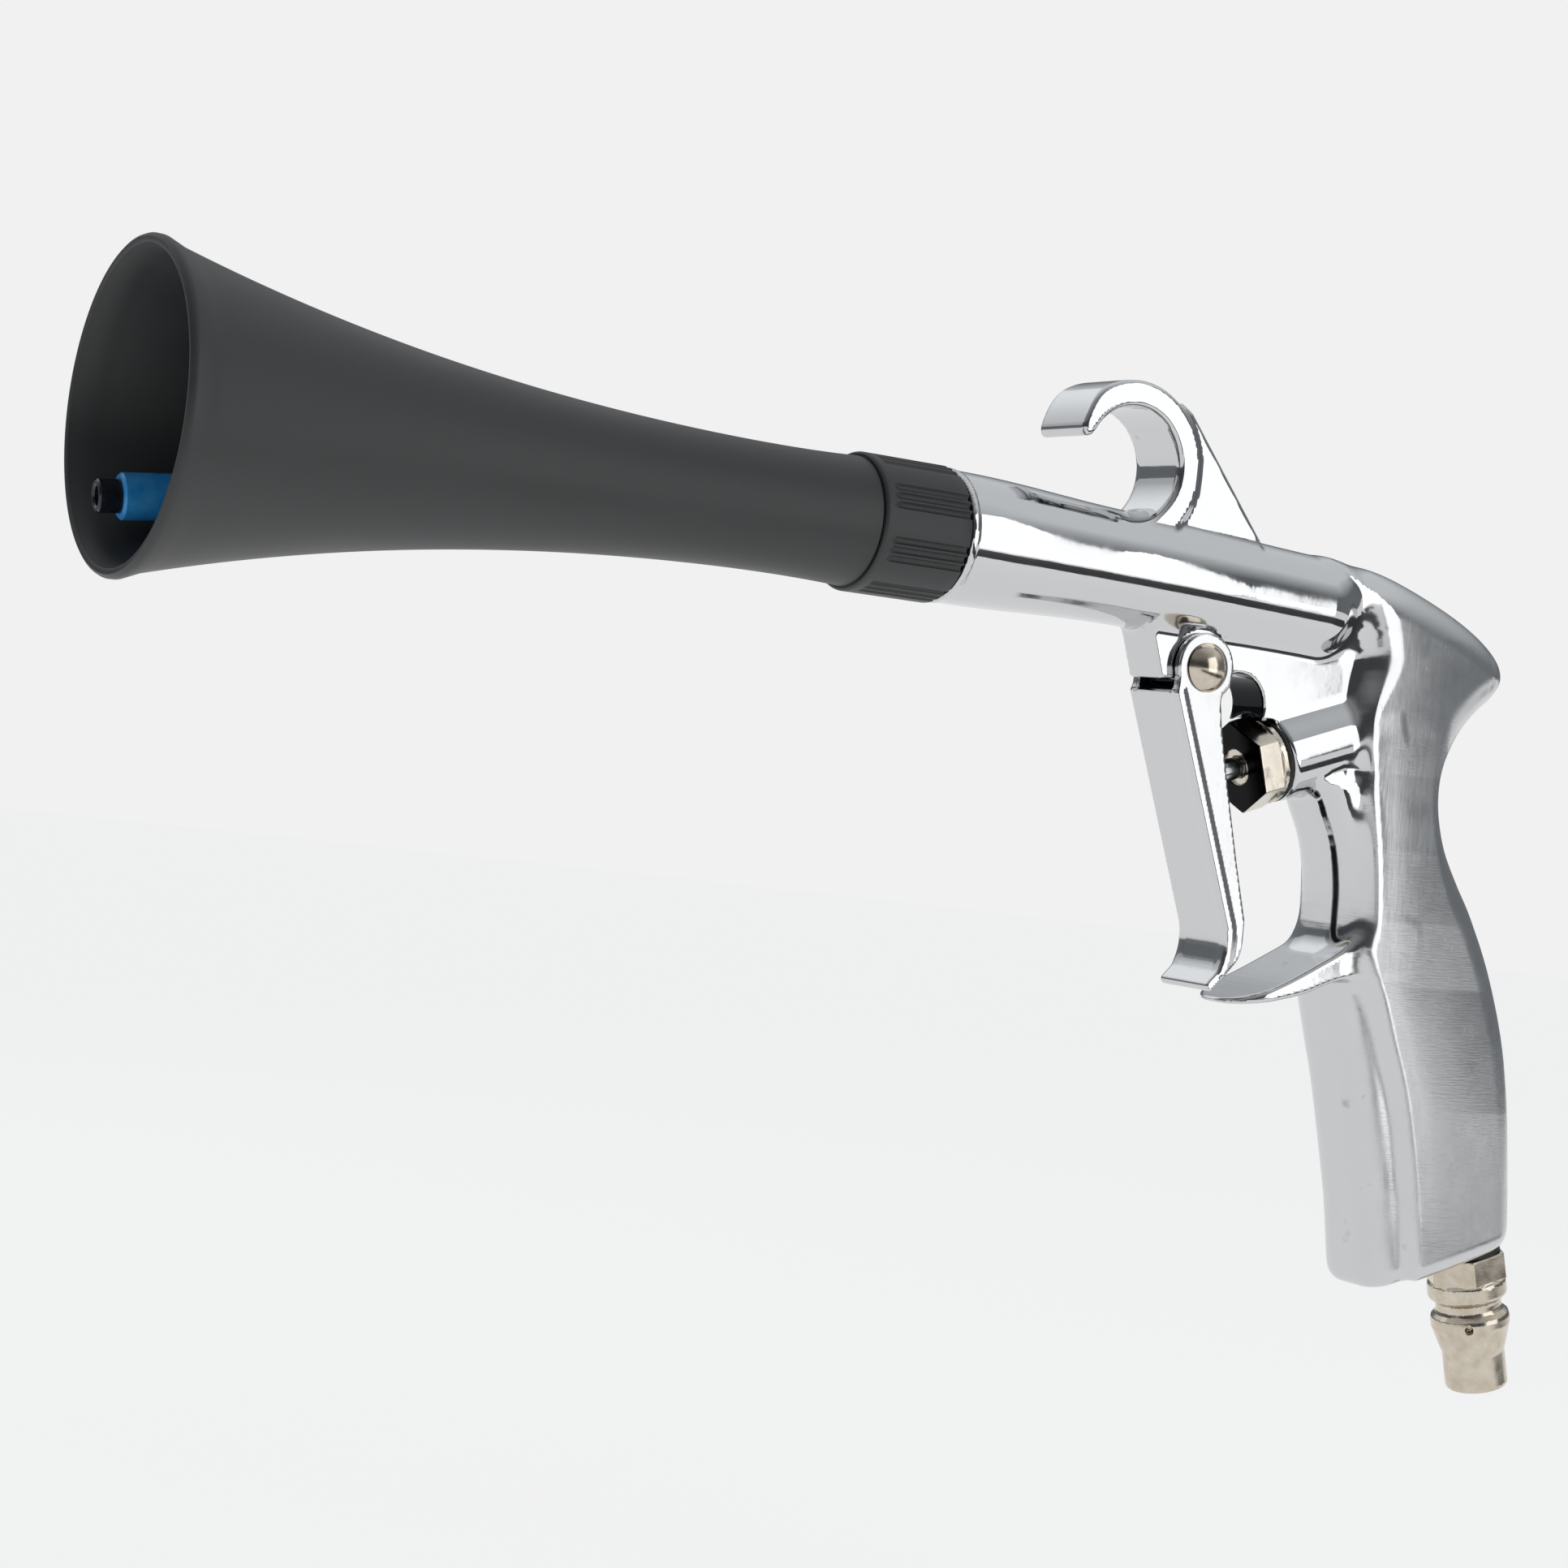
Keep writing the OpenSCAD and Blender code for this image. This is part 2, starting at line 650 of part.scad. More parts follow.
module valve_poppet() {
    color("tan") on_valve(poppet_x + poppet_seal_t) difference() {
        union() {
            cylinder(r = poppet_r, h = poppet_t);
            cylinder(r = stem_r + 0.2, h = poppet_t + 2);
        }
        translate([0, 0, -1]) cylinder(r = stem_r - 0.6, h = 10);
    }
}

// A coil spring swept round its axis, from z = wire_r to z = len - wire_r
module coil_spring(coil_r, wire, len, turns) {
    per_turn = 14;
    sides = 8;
    rise = (len - 2 * wire) / turns;
    rings = [for (k = [0:turns * per_turn]) let (a = 360 * k / per_turn) [
        for (j = [0:sides - 1]) let (b = 360 * j / sides, r = coil_r + wire * cos(b))
            [r * cos(a), r * sin(a), wire + rise * k / per_turn + wire * sin(b)]
    ]];
    skin(rings);
}

module valve_spring() {
    color("gray") on_valve(spring_x) coil_spring(chamber_r - 1.3, wire_r, spring_len, coils);
}

// ---- Air plug ------------------------------------------------------------

module air_plug() {
    nose_x = 20.6;
    end_x = 28;
    hex_x = 1;
    lock_x = 6.2;
    color("tan") on_plug(0) difference() {
        union() {
            translate([0, 0, -heel_depth + 1]) cylinder(r = plug_thread_r, h = heel_depth + 1);
            translate([0, 0, hex_x]) cylinder(r = plug_af / 2 / cos(30), h = lock_x - hex_x, $fn = 6);
            rotate_extrude() polygon([
                [0, 0.5], [3, 0.5], [lock_r - 0.5, lock_x], [lock_r, lock_x + 0.5], [lock_r, 9.6],
                [nose_r + 0.3, 10.6], [nose_r + 0.3, 12], [lock_r, 13], [lock_r, 15.6],
                [nose_r + 0.4, 19.4], [nose_r, nose_x], [nose_r, end_x - 0.8],
                [nose_r - 0.8, end_x], [0, end_x]
            ]);
        }
        translate([0, 0, -heel_depth]) cylinder(r = plug_bore_r, h = end_x + heel_depth + 1);
    }
}

module plug_seal() {
    color("black") on_plug(0) tube(plug_af / 2, plug_thread_r + fit, 1);
}

gun_body();
cone();
cone_gasket();
collar_nut();
swivel_housing();
housing_o_ring();
front_bearing_outer();
front_bearing_inner();
front_bearing_balls();
front_bearing_cage();
rear_bearing_outer();
rear_bearing_inner();
rear_bearing_balls();
rear_bearing_cage();
bearing_spacer();
housing_clip();
hub_clip();
swivel_hub();
whirl_tube();
weight_sleeve();
trigger();
pivot_pin();
pivot_cap();
gland_nut();
gland_o_ring();
stem_o_ring();
valve_seat();
valve_stem();
poppet_seal();
valve_poppet();
valve_spring();
air_plug();
plug_seal();
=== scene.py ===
# %% [markdown]
# # A compressed-air gun for blow-drying cars
#
# The gun is one polished aluminium casting with a lever trigger, a black cone that flares
# towards its mouth, and a thin plastic tube that whirls inside the cone when air flows.
# This notebook builds the pieces that show, gives each a finish, and sets up a small studio.
# Every length below is in millimetres, and `MM` turns it into Blender's metres.

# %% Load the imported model
import json
import math

import bpy
import numpy as np
from mathutils import Matrix, Vector


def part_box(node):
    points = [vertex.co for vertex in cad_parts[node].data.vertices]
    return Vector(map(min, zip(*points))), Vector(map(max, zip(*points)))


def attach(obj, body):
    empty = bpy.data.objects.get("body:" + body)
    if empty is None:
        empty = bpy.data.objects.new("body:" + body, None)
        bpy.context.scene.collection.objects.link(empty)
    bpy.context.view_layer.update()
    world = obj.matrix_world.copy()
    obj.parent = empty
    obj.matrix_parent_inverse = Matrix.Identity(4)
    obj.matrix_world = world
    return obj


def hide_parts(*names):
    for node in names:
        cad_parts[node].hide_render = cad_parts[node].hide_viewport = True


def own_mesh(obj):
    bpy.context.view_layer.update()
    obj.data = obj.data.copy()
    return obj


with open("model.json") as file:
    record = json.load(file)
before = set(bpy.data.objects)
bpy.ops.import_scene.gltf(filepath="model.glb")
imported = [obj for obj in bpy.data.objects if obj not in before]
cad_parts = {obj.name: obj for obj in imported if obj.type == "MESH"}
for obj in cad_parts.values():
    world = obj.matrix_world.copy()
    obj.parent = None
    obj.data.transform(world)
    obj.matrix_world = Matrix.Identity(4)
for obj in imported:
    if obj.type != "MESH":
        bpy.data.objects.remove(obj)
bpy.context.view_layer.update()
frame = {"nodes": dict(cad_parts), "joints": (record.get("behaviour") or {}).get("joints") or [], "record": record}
MM = 0.001
joints = {j["name"]: j for j in frame["joints"]}

# %% [markdown]
# ## Where things are
#
# The model says where each piece sits, so a few places are read from it and the rest
# follow. The barrel's axis and the trigger's pivot come from their joints, and the
# faces of the smaller pieces come from their boxes.

# %% Read the driving places
def span(node):
    """Lowest and highest corner of a node, in millimetres."""
    low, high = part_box(node)
    return np.array(low) / MM, np.array(high) / MM


AXIS_Z = joints["tube_spin"]["pos_m"][2] / MM
PIVOT = np.array(joints["trigger_pull"]["pos_m"]) / MM
VALVE_DIR = np.array(joints["valve_slide"]["axis"])
inlet = next(m for m in frame["record"]["mounts"] if m["name"] == "air_inlet")
PLUG_DIR = np.array(inlet["axis"])
MOUTH_X = span("cone")[0][0]
COLLAR_X, COLLAR_END_X = span("collar_nut")[0][0], span("collar_nut")[1][0]
SHOULDER_X = COLLAR_END_X + 0.3
BOSS = np.array([42.3, 0.0, AXIS_Z - 31])    # centre of the valve boss's front face
HEEL = np.array([104.8, 0.0, AXIS_Z - 120])  # where the plug's axis leaves the grip
print(f"barrel axis at z = {AXIS_Z:.1f}")
print(f"mouth at x = {MOUTH_X:.1f}, shoulder at x = {SHOULDER_X:.1f}")

# %% [markdown]
# ## Helpers for finishes
#
# A finish starts as one shader whose colour, metalness and roughness are typical of the
# real material. Small patterns then disturb its roughness and its surface, because it is
# the disturbance that the eye reads as cast, turned or moulded. `add` places one node.

# %% Colour and node helpers
def linear(code):
    """Turns an sRGB hex colour into the linear numbers that a shader works in."""
    parts = [int(code[i:i + 2], 16) / 255 for i in (1, 3, 5)]
    return [c / 12.92 if c <= 0.04045 else ((c + 0.055) / 1.055) ** 2.4 for c in parts]


def add(mat, kind, inputs=None, **settings):
    """Adds a node. An input is a number, a colour, or another node's output to link."""
    made = mat.node_tree.nodes.new(kind)
    for key, value in settings.items():
        setattr(made, key, value)
    for key, value in (inputs or {}).items():
        if isinstance(value, bpy.types.NodeSocket):
            mat.node_tree.links.new(value, made.inputs[key])
        else:
            made.inputs[key].default_value = value
    return made


def maths(mat, kind, *values, **settings):
    """Does one sum, such as ADD or MULTIPLY, with patterns or numbers."""
    inputs = dict(enumerate(values))
    return add(mat, "ShaderNodeMath", inputs, operation=kind, **settings).outputs[0]


def how_far(mat, where, direction):
    """How far places lie along a direction."""
    made = add(mat, "ShaderNodeVectorMath", {0: where, 1: direction}, operation="DOT_PRODUCT")
    return made.outputs["Value"]


def finish_of(name, colour, metallic, roughness, **sockets):
    """A new material and its main shader, with the constant values set on the shader."""
    mat = bpy.data.materials.new(name)
    mat.use_nodes = True
    shader = mat.node_tree.nodes["Principled BSDF"]
    shader.inputs["Base Color"].default_value = (*linear(colour), 1)
    shader.inputs["Metallic"].default_value = metallic
    shader.inputs["Roughness"].default_value = roughness
    for key, value in sockets.items():
        shader.inputs[key.replace("_", " ")].default_value = value
    return mat, shader


def place(mat, stretch=(1, 1, 1), turn=(0, 0, 0)):
    """Coordinates in millimetres, stretched and turned: a brushed grain is a stretched noise."""
    where = add(mat, "ShaderNodeTexCoord")
    to_mm = add(mat, "ShaderNodeMapping", {
        "Vector": where.outputs["Object"],
        "Rotation": [math.radians(a) for a in turn],
        "Scale": [s / MM for s in stretch],
    })
    return to_mm.outputs["Vector"]


def noise(mat, where, size, detail=3, rough=0.5):
    """A noise whose blotches are about `size` millimetres across."""
    made = add(mat, "ShaderNodeTexNoise", {"Vector": where, "Scale": 1 / size, "Detail": detail,
                                           "Roughness": rough})
    return made.outputs["Fac"]


def between(mat, value, low, high, start=0.0, end=1.0):
    """Carries a value from start..end to low..high."""
    made = add(mat, "ShaderNodeMapRange", {"Value": value, "From Min": start, "From Max": end,
                                           "To Min": low, "To Max": high})
    return made.outputs["Result"]


def roughen(mat, shader, pattern, low, high, start=0.3, end=0.7):
    """Lets a pattern swing the roughness between two values."""
    rough = between(mat, pattern, low, high, start, end)
    mat.node_tree.links.new(rough, shader.inputs["Roughness"])


def emboss(mat, shader, layers):
    """Stacks bumps: each layer is (pattern, height in millimetres)."""
    normal = None
    for pattern, height in layers:
        inputs = {"Height": pattern, "Distance": height * MM, "Strength": 1.0}
        if normal:
            inputs["Normal"] = normal
        normal = add(mat, "ShaderNodeBump", inputs).outputs["Normal"]
    mat.node_tree.links.new(normal, shader.inputs["Normal"])


def tint(mat, shader, pattern, dark, light, start=0.3, end=0.7):
    """Lets a pattern swing the base colour between two colours."""
    ramp = add(mat, "ShaderNodeValToRGB", {"Fac": pattern})
    ramp.color_ramp.elements[0].position = start
    ramp.color_ramp.elements[0].color = (*linear(dark), 1)
    ramp.color_ramp.elements[1].position = end
    ramp.color_ramp.elements[1].color = (*linear(light), 1)
    mat.node_tree.links.new(ramp.outputs["Color"], shader.inputs["Base Color"])


print("helpers ready")

# %% [markdown]
# ## Polished cast aluminium
#
# The body is cast, ground on a belt and buffed. The barrel, hook and web are buffed to a
# near mirror, so they show the studio as bright and dark bands. The grip keeps the belt's
# fine strokes across it, which blur the reflections. One material does both: a mask from
# the place on the body says how much of the belt's grain is left.

# %% Polished cast aluminium
GRAIN_START, GRAIN_END = 55, 66     # x where the belt's grain starts to show, and is full
# Where the painted shade in the pocket ahead of the valve boss sits: its centre in the side view, its radius, and
# its half width across the gun
PAINTED_SHADE_POCKET, PAINTED_SHADE_POCKET_R = (32.5, 0, -44.0), 9.5
PAINTED_SHADE_POCKET_HALF = 4.2


def polished_aluminium():
    """Buffed ahead of the grip, with the belt's grain left on the grip, and painted shade in the pocket ahead of
    the valve boss.
    """
    mat, shader = finish_of("polished_cast_aluminium", "#cbccce", 1.0, 0.08)
    plain = place(mat)
    # The belt's strokes run up across the grip, each a few millimetres long and a hair wide
    strokes = noise(mat, place(mat, (0.32, 0.12, 3.4), (0, 38, 0)), 1.0, 4, 0.6)
    scuffs = noise(mat, place(mat, (2.6, 0.4, 0.2), (0, 52, 20)), 1.1, 3, 0.55)
    waves = noise(mat, plain, 16.0, 1, 0.4)
    ripple = noise(mat, plain, 3.2, 2, 0.5)
    haze = noise(mat, plain, 7.0, 3, 0.55)
    # Strokes and scuffs show behind the line where the barrel ends
    spot = add(mat, "ShaderNodeSeparateXYZ", {"Vector": plain})
    grain = between(mat, spot.outputs["X"], 0.0, 1.0, GRAIN_START, GRAIN_END)
    strokes = maths(mat, "MULTIPLY", strokes, grain)
    scuffs = maths(mat, "MULTIPLY", scuffs, grain)
    smooth_or_ground = between(mat, grain, 0.05, 0.17)
    dulled = between(mat, haze, -0.01, 0.04, 0.35, 0.65)
    rough = maths(mat, "ADD", smooth_or_ground, dulled)
    rough = maths(mat, "ADD", rough, maths(mat, "MULTIPLY", scuffs, 0.1), use_clamp=True)
    mat.node_tree.links.new(rough, shader.inputs["Roughness"])
    # Painted shade: the pocket ahead of the valve boss has its colour darkened as if it lay in shadow
    across = maths(mat, "ABSOLUTE", spot.outputs["Y"])
    within = between(mat, across, 1.0, 0.0, PAINTED_SHADE_POCKET_HALF, PAINTED_SHADE_POCKET_HALF + 0.4)
    level = add(mat, "ShaderNodeVectorMath", {0: plain, 1: (1, 0, 1)}, operation="MULTIPLY")
    away = add(mat, "ShaderNodeVectorMath", {0: level.outputs[0], 1: PAINTED_SHADE_POCKET}, operation="DISTANCE")
    near = between(mat, away.outputs["Value"], 1.0, 0.0, PAINTED_SHADE_POCKET_R, PAINTED_SHADE_POCKET_R + 1.0)
    shade = maths(mat, "SUBTRACT", haze, maths(mat, "MULTIPLY", near, within))
    tint(mat, shader, shade, "#242527", "#d1d2d3", -0.4, 0.3)
    emboss(mat, shader, [(waves, 0.1), (ripple, 0.012), (strokes, 0.014), (scuffs, 0.008)])
    return mat


ALUMINIUM = polished_aluminium()
print("made", ALUMINIUM.name)

# %% [markdown]
# ## The other finishes
#
# The trigger is cast from the same aluminium and buffed, but its flat front keeps a
# fine vertical grain. Nickel plate over brass is warmer than aluminium and shows the lathe's
# rings. The cone is ABS from a fine-spark mould, so its light is soft. The whirl tube is
# nylon, and the sleeve on it is soft blue PVC.

# %% Trigger, plating and plastics
# Half the gap inside which the lever gets painted shade
LEVER_INSIDE = 4.9    # half the gap between the lever's flanges


def buffed_lever():
    """Buffed outside, with a fine grain down the front, and painted shade between the flanges."""
    mat, shader = finish_of("buffed_lever_aluminium", "#cfd0d2", 1.0, 0.12)
    grain = noise(mat, place(mat, (3.0, 0.9, 0.16), (0, 22, 0)), 0.8, 4, 0.6)
    wear = noise(mat, place(mat), 6.0, 3, 0.6)
    # Painted shade: between the flanges and behind the front plate the colour is darkened as if in shadow, and the
    # roughness rises there
    spot = add(mat, "ShaderNodeSeparateXYZ", {"Vector": place(mat)})
    across = maths(mat, "ABSOLUTE", spot.outputs["Y"])
    within = between(mat, across, 1.0, 0.0, LEVER_INSIDE, LEVER_INSIDE + 0.2)
    behind_plate = between(mat, how_far(mat, place(mat), (0.923, 0, 0.384)), 0.0, 1.0, -0.7, -0.1)
    shade = maths(mat, "SUBTRACT", wear, maths(mat, "MULTIPLY", within, behind_plate))
    roughen(mat, shader, shade, 0.5, 0.13, -0.6, 0.4)
    tint(mat, shader, shade, "#2b2c2e", "#d2d3d4", -0.4, 0.2)
    emboss(mat, shader, [(grain, 0.005), (wear, 0.03)])
    return mat


def nickel_plate(name, painted_shade_face=None):
    """Nickel plate. Given a level on the valve's axis, the face before that level is painted black as painted
    shade.
    """
    mat, shader = finish_of(name, "#cfc5b5", 1.0, 0.16)
    rings = noise(mat, place(mat, (0.5, 0.1, 2.2), (0, -16, 0)), 0.5, 3, 0.6)
    cloud = noise(mat, place(mat), 3.0, 3, 0.55)
    roughen(mat, shader, cloud, 0.12, 0.22)
    if painted_shade_face is None:
        tint(mat, shader, cloud, "#c3b7a4", "#d8d0c3")
    else:
        # Painted shade: the face before the given level is darkened as if in shadow
        ahead = how_far(mat, place(mat), VALVE_DIR)
        painted_shade = between(mat, ahead, 1.0, 0.0, painted_shade_face - 0.1, painted_shade_face + 0.1)
        tint(mat, shader, maths(mat, "SUBTRACT", cloud, painted_shade), "#161616", "#d8d0c3", -0.4, 0.45)
    emboss(mat, shader, [(rings, 0.006), (cloud, 0.012)])
    return mat


def moulded_abs():
    """Black ABS from a fine-spark mould."""
    mat, shader = finish_of("moulded_black_abs", "#2f3031", 0.0, 0.5, IOR=1.54,
                            Specular_IOR_Level=0.45)
    spark = noise(mat, place(mat), 0.45, 2, 0.7)
    flow = noise(mat, place(mat, (0.25, 1, 1)), 18.0, 3, 0.55)
    roughen(mat, shader, flow, 0.42, 0.56)
    tint(mat, shader, flow, "#2e2f30", "#393a3b")
    emboss(mat, shader, [(spark, 0.012), (flow, 0.06)])
    return mat


def soft_plastic(name, dark, light, rough, **sockets):
    """Plastic or rubber that clouds a little between two colours, with fine drawn lines."""
    mat, shader = finish_of(name, light, 0.0, rough, **sockets)
    cloud = noise(mat, place(mat), 2.5, 3, 0.6)
    drawn = noise(mat, place(mat, (0.06, 1.5, 1.5)), 0.5, 2, 0.5)
    roughen(mat, shader, cloud, rough * 0.8, rough * 1.25)
    tint(mat, shader, cloud, dark, light)
    emboss(mat, shader, [(drawn, 0.01)])
    return mat


def bright_metal(name, dark, light, rough):
    """Turned or ground bare metal, with the tool's fine rings."""
    mat, shader = finish_of(name, light, 1.0, rough)
    cloud = noise(mat, place(mat), 2.0, 3, 0.6)
    turned = noise(mat, place(mat, (3.0, 0.3, 0.3)), 0.5, 2, 0.6)
    roughen(mat, shader, cloud, rough * 0.75, rough * 1.3)
    tint(mat, shader, cloud, dark, light)
    emboss(mat, shader, [(turned, 0.006)])
    return mat


LEVER = buffed_lever()
NICKEL = nickel_plate("nickel_plated_brass")
HEX_FACE = -7.3       # the gland nut's front face, from the boss's face
# The gland nut's front face gets painted shade
GLAND_NICKEL = nickel_plate("nickel_plated_gland", BOSS @ VALVE_DIR + HEX_FACE + 0.2)
ABS = moulded_abs()
NYLON_TUBE = soft_plastic("extruded_dark_nylon", "#11141a", "#1f2530", 0.22, IOR=1.53)
BLUE_PVC = soft_plastic("extruded_blue_pvc", "#2496ea", "#45b0fa", 0.34, IOR=1.53)
RUBBER = soft_plastic("nitrile_rubber", "#0c0c0d", "#19191a", 0.55, IOR=1.52)
PTFE = soft_plastic("white_ptfe", "#dcdad2", "#ecebe6", 0.45, IOR=1.35)
CAGE = soft_plastic("amber_nylon", "#a88a52", "#c6a86c", 0.4, IOR=1.53)
BRASS = bright_metal("turned_brass", "#b08a44", "#d2ad63", 0.25)
STEEL = bright_metal("ground_steel", "#a9abae", "#c9cbcd", 0.18)
SPRING = bright_metal("drawn_spring_wire", "#77797c", "#96989b", 0.3)
print("finishes:", len(bpy.data.materials))

# %% [markdown]
# ## Turning a piece on a lathe
#
# The cone, the pins and the seals are round, so each is a profile turned about an axis, as
# on a lathe. The profile is a closed line of (along, radius) points in millimetres.

# %% Lathe helper
def frame_from(origin, direction):
    """A matrix that puts local z along a direction and local y along the gun's y, at a place."""
    z = Vector(direction).normalized()
    y = Vector((0, 1, 0)) - z * z.y
    y = y.normalized() if y.length > 0.001 else Vector((0, 0, -z.y))
    x = y.cross(z)
    turned = Matrix((x, y, z)).transposed().to_4x4()
    return Matrix.Translation(Vector(origin) * MM) @ turned


def object_of(name, points, faces, matrix, material, sharp=35):
    """A mesh object from points in millimetres. Edges sharper than `sharp` degrees stay crisp."""
    mesh = bpy.data.meshes.new(name)
    mesh.from_pydata([tuple(c * MM for c in p) for p in points], [], faces)
    mesh.validate()
    mesh.transform(matrix)
    for poly in mesh.polygons:
        poly.use_smooth = True
    if sharp:
        mesh.set_sharp_from_angle(angle=math.radians(sharp))
    mesh.materials.append(material)
    made = bpy.data.objects.new(name, mesh)
    bpy.context.scene.collection.objects.link(made)
    return made


def turn(name, profile, origin, direction, material, steps=96, swell=None, sharp=35):
    """Turns a closed profile about an axis. swell(angle, along, radius) adds to the radius."""
    points, faces = [], []
    n = len(profile)
    for i in range(steps):
        a = 2 * math.pi * i / steps
        for along, radius in profile:
            r = radius + (swell(a, along, radius) if swell else 0)
            points.append((r * math.cos(a), r * math.sin(a), along))
    for i in range(steps):
        j = (i + 1) % steps
        for k in range(n):
            m = (k + 1) % n
            faces.append((i * n + k, i * n + m, j * n + m, j * n + k))
    return object_of(name, points, faces, frame_from(origin, direction), material, sharp)


dressed = set()       # the nodes that a detailed piece stands for


def fit_in(piece, body, slot, *nodes):
    """Says which body carries the piece and which plain solids it replaces; its finish's slot is given but not
    used.
    """
    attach(piece, body)
    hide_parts(*nodes)
    dressed.update(nodes)
    print(f"{piece.name}: {len(piece.data.polygons)} faces")


# %% [markdown]
# ## The cone
#
# The cone is one moulding. Its outside is nearly straight at the neck and flares towards the
# mouth, where the rim is rounded over a thin lip. The wall is thin, and a flange at the
# neck end is what the collar clamps.

# %% Cone
CONE_LEN = COLLAR_X - 0.25 - MOUTH_X
MOUTH_R, NECK_R, NECK_BORE, CONE_WALL = span("cone")[1][1], 10.4, 7.8, 1.7
FLANGE_R, FLANGE_T, UNDERCUT_R = 9.9, 1.6, 9.0


def cone_outer(x):
    """The outside radius at a distance behind the mouth."""
    flare = (MOUTH_R - NECK_R) * (1 - x / CONE_LEN) ** 2.45
    return NECK_R + flare + 0.6 * (x / CONE_LEN) ** 12


def cone():
    stations = [CONE_LEN * i / 60 for i in range(2, 61)]
    outside = [(x, cone_outer(x)) for x in stations]
    inside = [(x, max(NECK_BORE, cone_outer(x) - CONE_WALL)) for x in reversed(stations)]
    lip_r = MOUTH_R - 0.75
    lip = [(2.2, outside[0][1] - CONE_WALL + 0.45), (0.9, lip_r - 1.05), (0.3, lip_r - 0.8),
           (0.05, lip_r - 0.35), (0.05, lip_r + 0.1), (0.35, lip_r + 0.5), (0.8, lip_r + 0.72),
           (1.5, MOUTH_R - 0.05)]
    neck_end = span("cone")[1][0] - MOUTH_X
    neck = [(CONE_LEN, UNDERCUT_R), (neck_end - FLANGE_T, UNDERCUT_R),
            (neck_end - FLANGE_T, FLANGE_R), (neck_end, FLANGE_R), (neck_end, NECK_BORE)]
    profile = outside + neck + inside + lip
    return turn("cone_shell", profile, (MOUTH_X, 0, AXIS_Z), (1, 0, 0), ABS, steps=144)


fit_in(cone(), "body", "black_plastic", "cone")

# %% [markdown]
# ## The collar
#
# The collar screws on the casting and clamps the cone. Eight groups of three grooves give
# the fingers something to turn. Each groove is a dip in the radius, which fades before the
# front face so that the front edge stays round, and runs out at the rear edge.

# %% Collar
COLLAR_R = span("collar_nut")[1][1]
THREAD_R, NECK_HOLE_R, FRONT_WALL = 10.1, 9.15, 4.7
GROUP_DEG, GROOVES_AT = 45, (14.5, 22.5, 30.5)
GROOVE_DEEP, GROOVE_HALF_DEG = 0.62, 3.1


def grooves(angle, along, radius):
    """What the finger grooves take off the radius."""
    if radius < COLLAR_R - 0.7:
        return 0.0
    in_group = math.degrees(angle) % GROUP_DEG
    nearest = min(abs(in_group - c) for c in GROOVES_AT)
    depth = GROOVE_DEEP * max(0.0, 1 - (nearest / GROOVE_HALF_DEG) ** 2) ** 0.6
    run_out = min(1.0, max(0.0, (along - 1.6) / 1.4))
    return -depth * run_out


def collar():
    length, edge = COLLAR_END_X - COLLAR_X, 0.6
    rounded = [(edge - edge * math.cos(a), COLLAR_R - edge + edge * math.sin(a))
               for a in (0.4, 0.8, 1.2, 1.57)]
    outer = [(0.0, COLLAR_R - 2.6), (0.05, COLLAR_R - edge)] + rounded
    outer += [(x, COLLAR_R) for x in (1.2, 1.6, 2.0, 2.4, 2.8, 3.2, 6, 9, 12, 15)]
    outer += [(length - 0.5, COLLAR_R), (length - 0.15, COLLAR_R - 0.15), (length, COLLAR_R - 0.5)]
    inner = [(length, THREAD_R), (FRONT_WALL, THREAD_R), (FRONT_WALL, NECK_HOLE_R),
             (0.0, NECK_HOLE_R)]
    return turn("collar_grip", outer + inner, (COLLAR_X, 0, AXIS_Z), (1, 0, 0), ABS, steps=1080,
                swell=grooves)


fit_in(collar(), "collar", "black_plastic", "collar_nut")

# %% [markdown]
# ## The whirl tube and its sleeve
#
# Air rushes out of the thin tube, and its lean makes it whirl like a loose hose. The blue
# sleeve near the tip is a weight that keeps it pressed outwards. Both are plain tubing,
# so both are turned about the tube's own line, which the tube's box gives.

# %% Whirl tube and sleeve
TUBE_R, TUBE_BORE = 2.6, 1.6
SLEEVE_BACK, SLEEVE_LEN, SLEEVE_R = 3.6, 24.0, 3.6


def tube_line():
    """The tip, direction and length of the whirl tube, from the plain tube's two ends."""
    mesh = frame["nodes"]["whirl_tube"].data
    points = np.array([v.co for v in mesh.vertices]) / MM
    tip = points[points[:, 0] < points[:, 0].min() + 1.2].mean(0)
    root = points[points[:, 0] > points[:, 0].max() - 1.2].mean(0)
    return tip, (root - tip) / np.linalg.norm(root - tip), np.linalg.norm(root - tip)


TIP, TUBE_DIR, TUBE_LEN = tube_line()


def whirl_tube():
    edge = 0.3
    profile = [(0, TUBE_BORE + edge), (edge, TUBE_BORE), (TUBE_LEN, TUBE_BORE), (TUBE_LEN, TUBE_R),
               (edge, TUBE_R), (0, TUBE_R - edge)]
    return turn("nylon_tube", profile, TIP, TUBE_DIR, NYLON_TUBE, steps=48)


def weight_sleeve():
    low, high, bore, edge = SLEEVE_BACK, SLEEVE_BACK + SLEEVE_LEN, TUBE_R + 0.05, 0.35
    profile = [(low, bore), (high, bore), (high, SLEEVE_R - edge), (high - edge, SLEEVE_R),
               (low + edge, SLEEVE_R), (low, SLEEVE_R - edge)]
    return turn("blue_weight", profile, TIP, TUBE_DIR, BLUE_PVC, steps=64)


fit_in(whirl_tube(), "rotor", "tube_nylon", "whirl_tube")
fit_in(weight_sleeve(), "rotor", "blue_sleeve", "weight_sleeve")

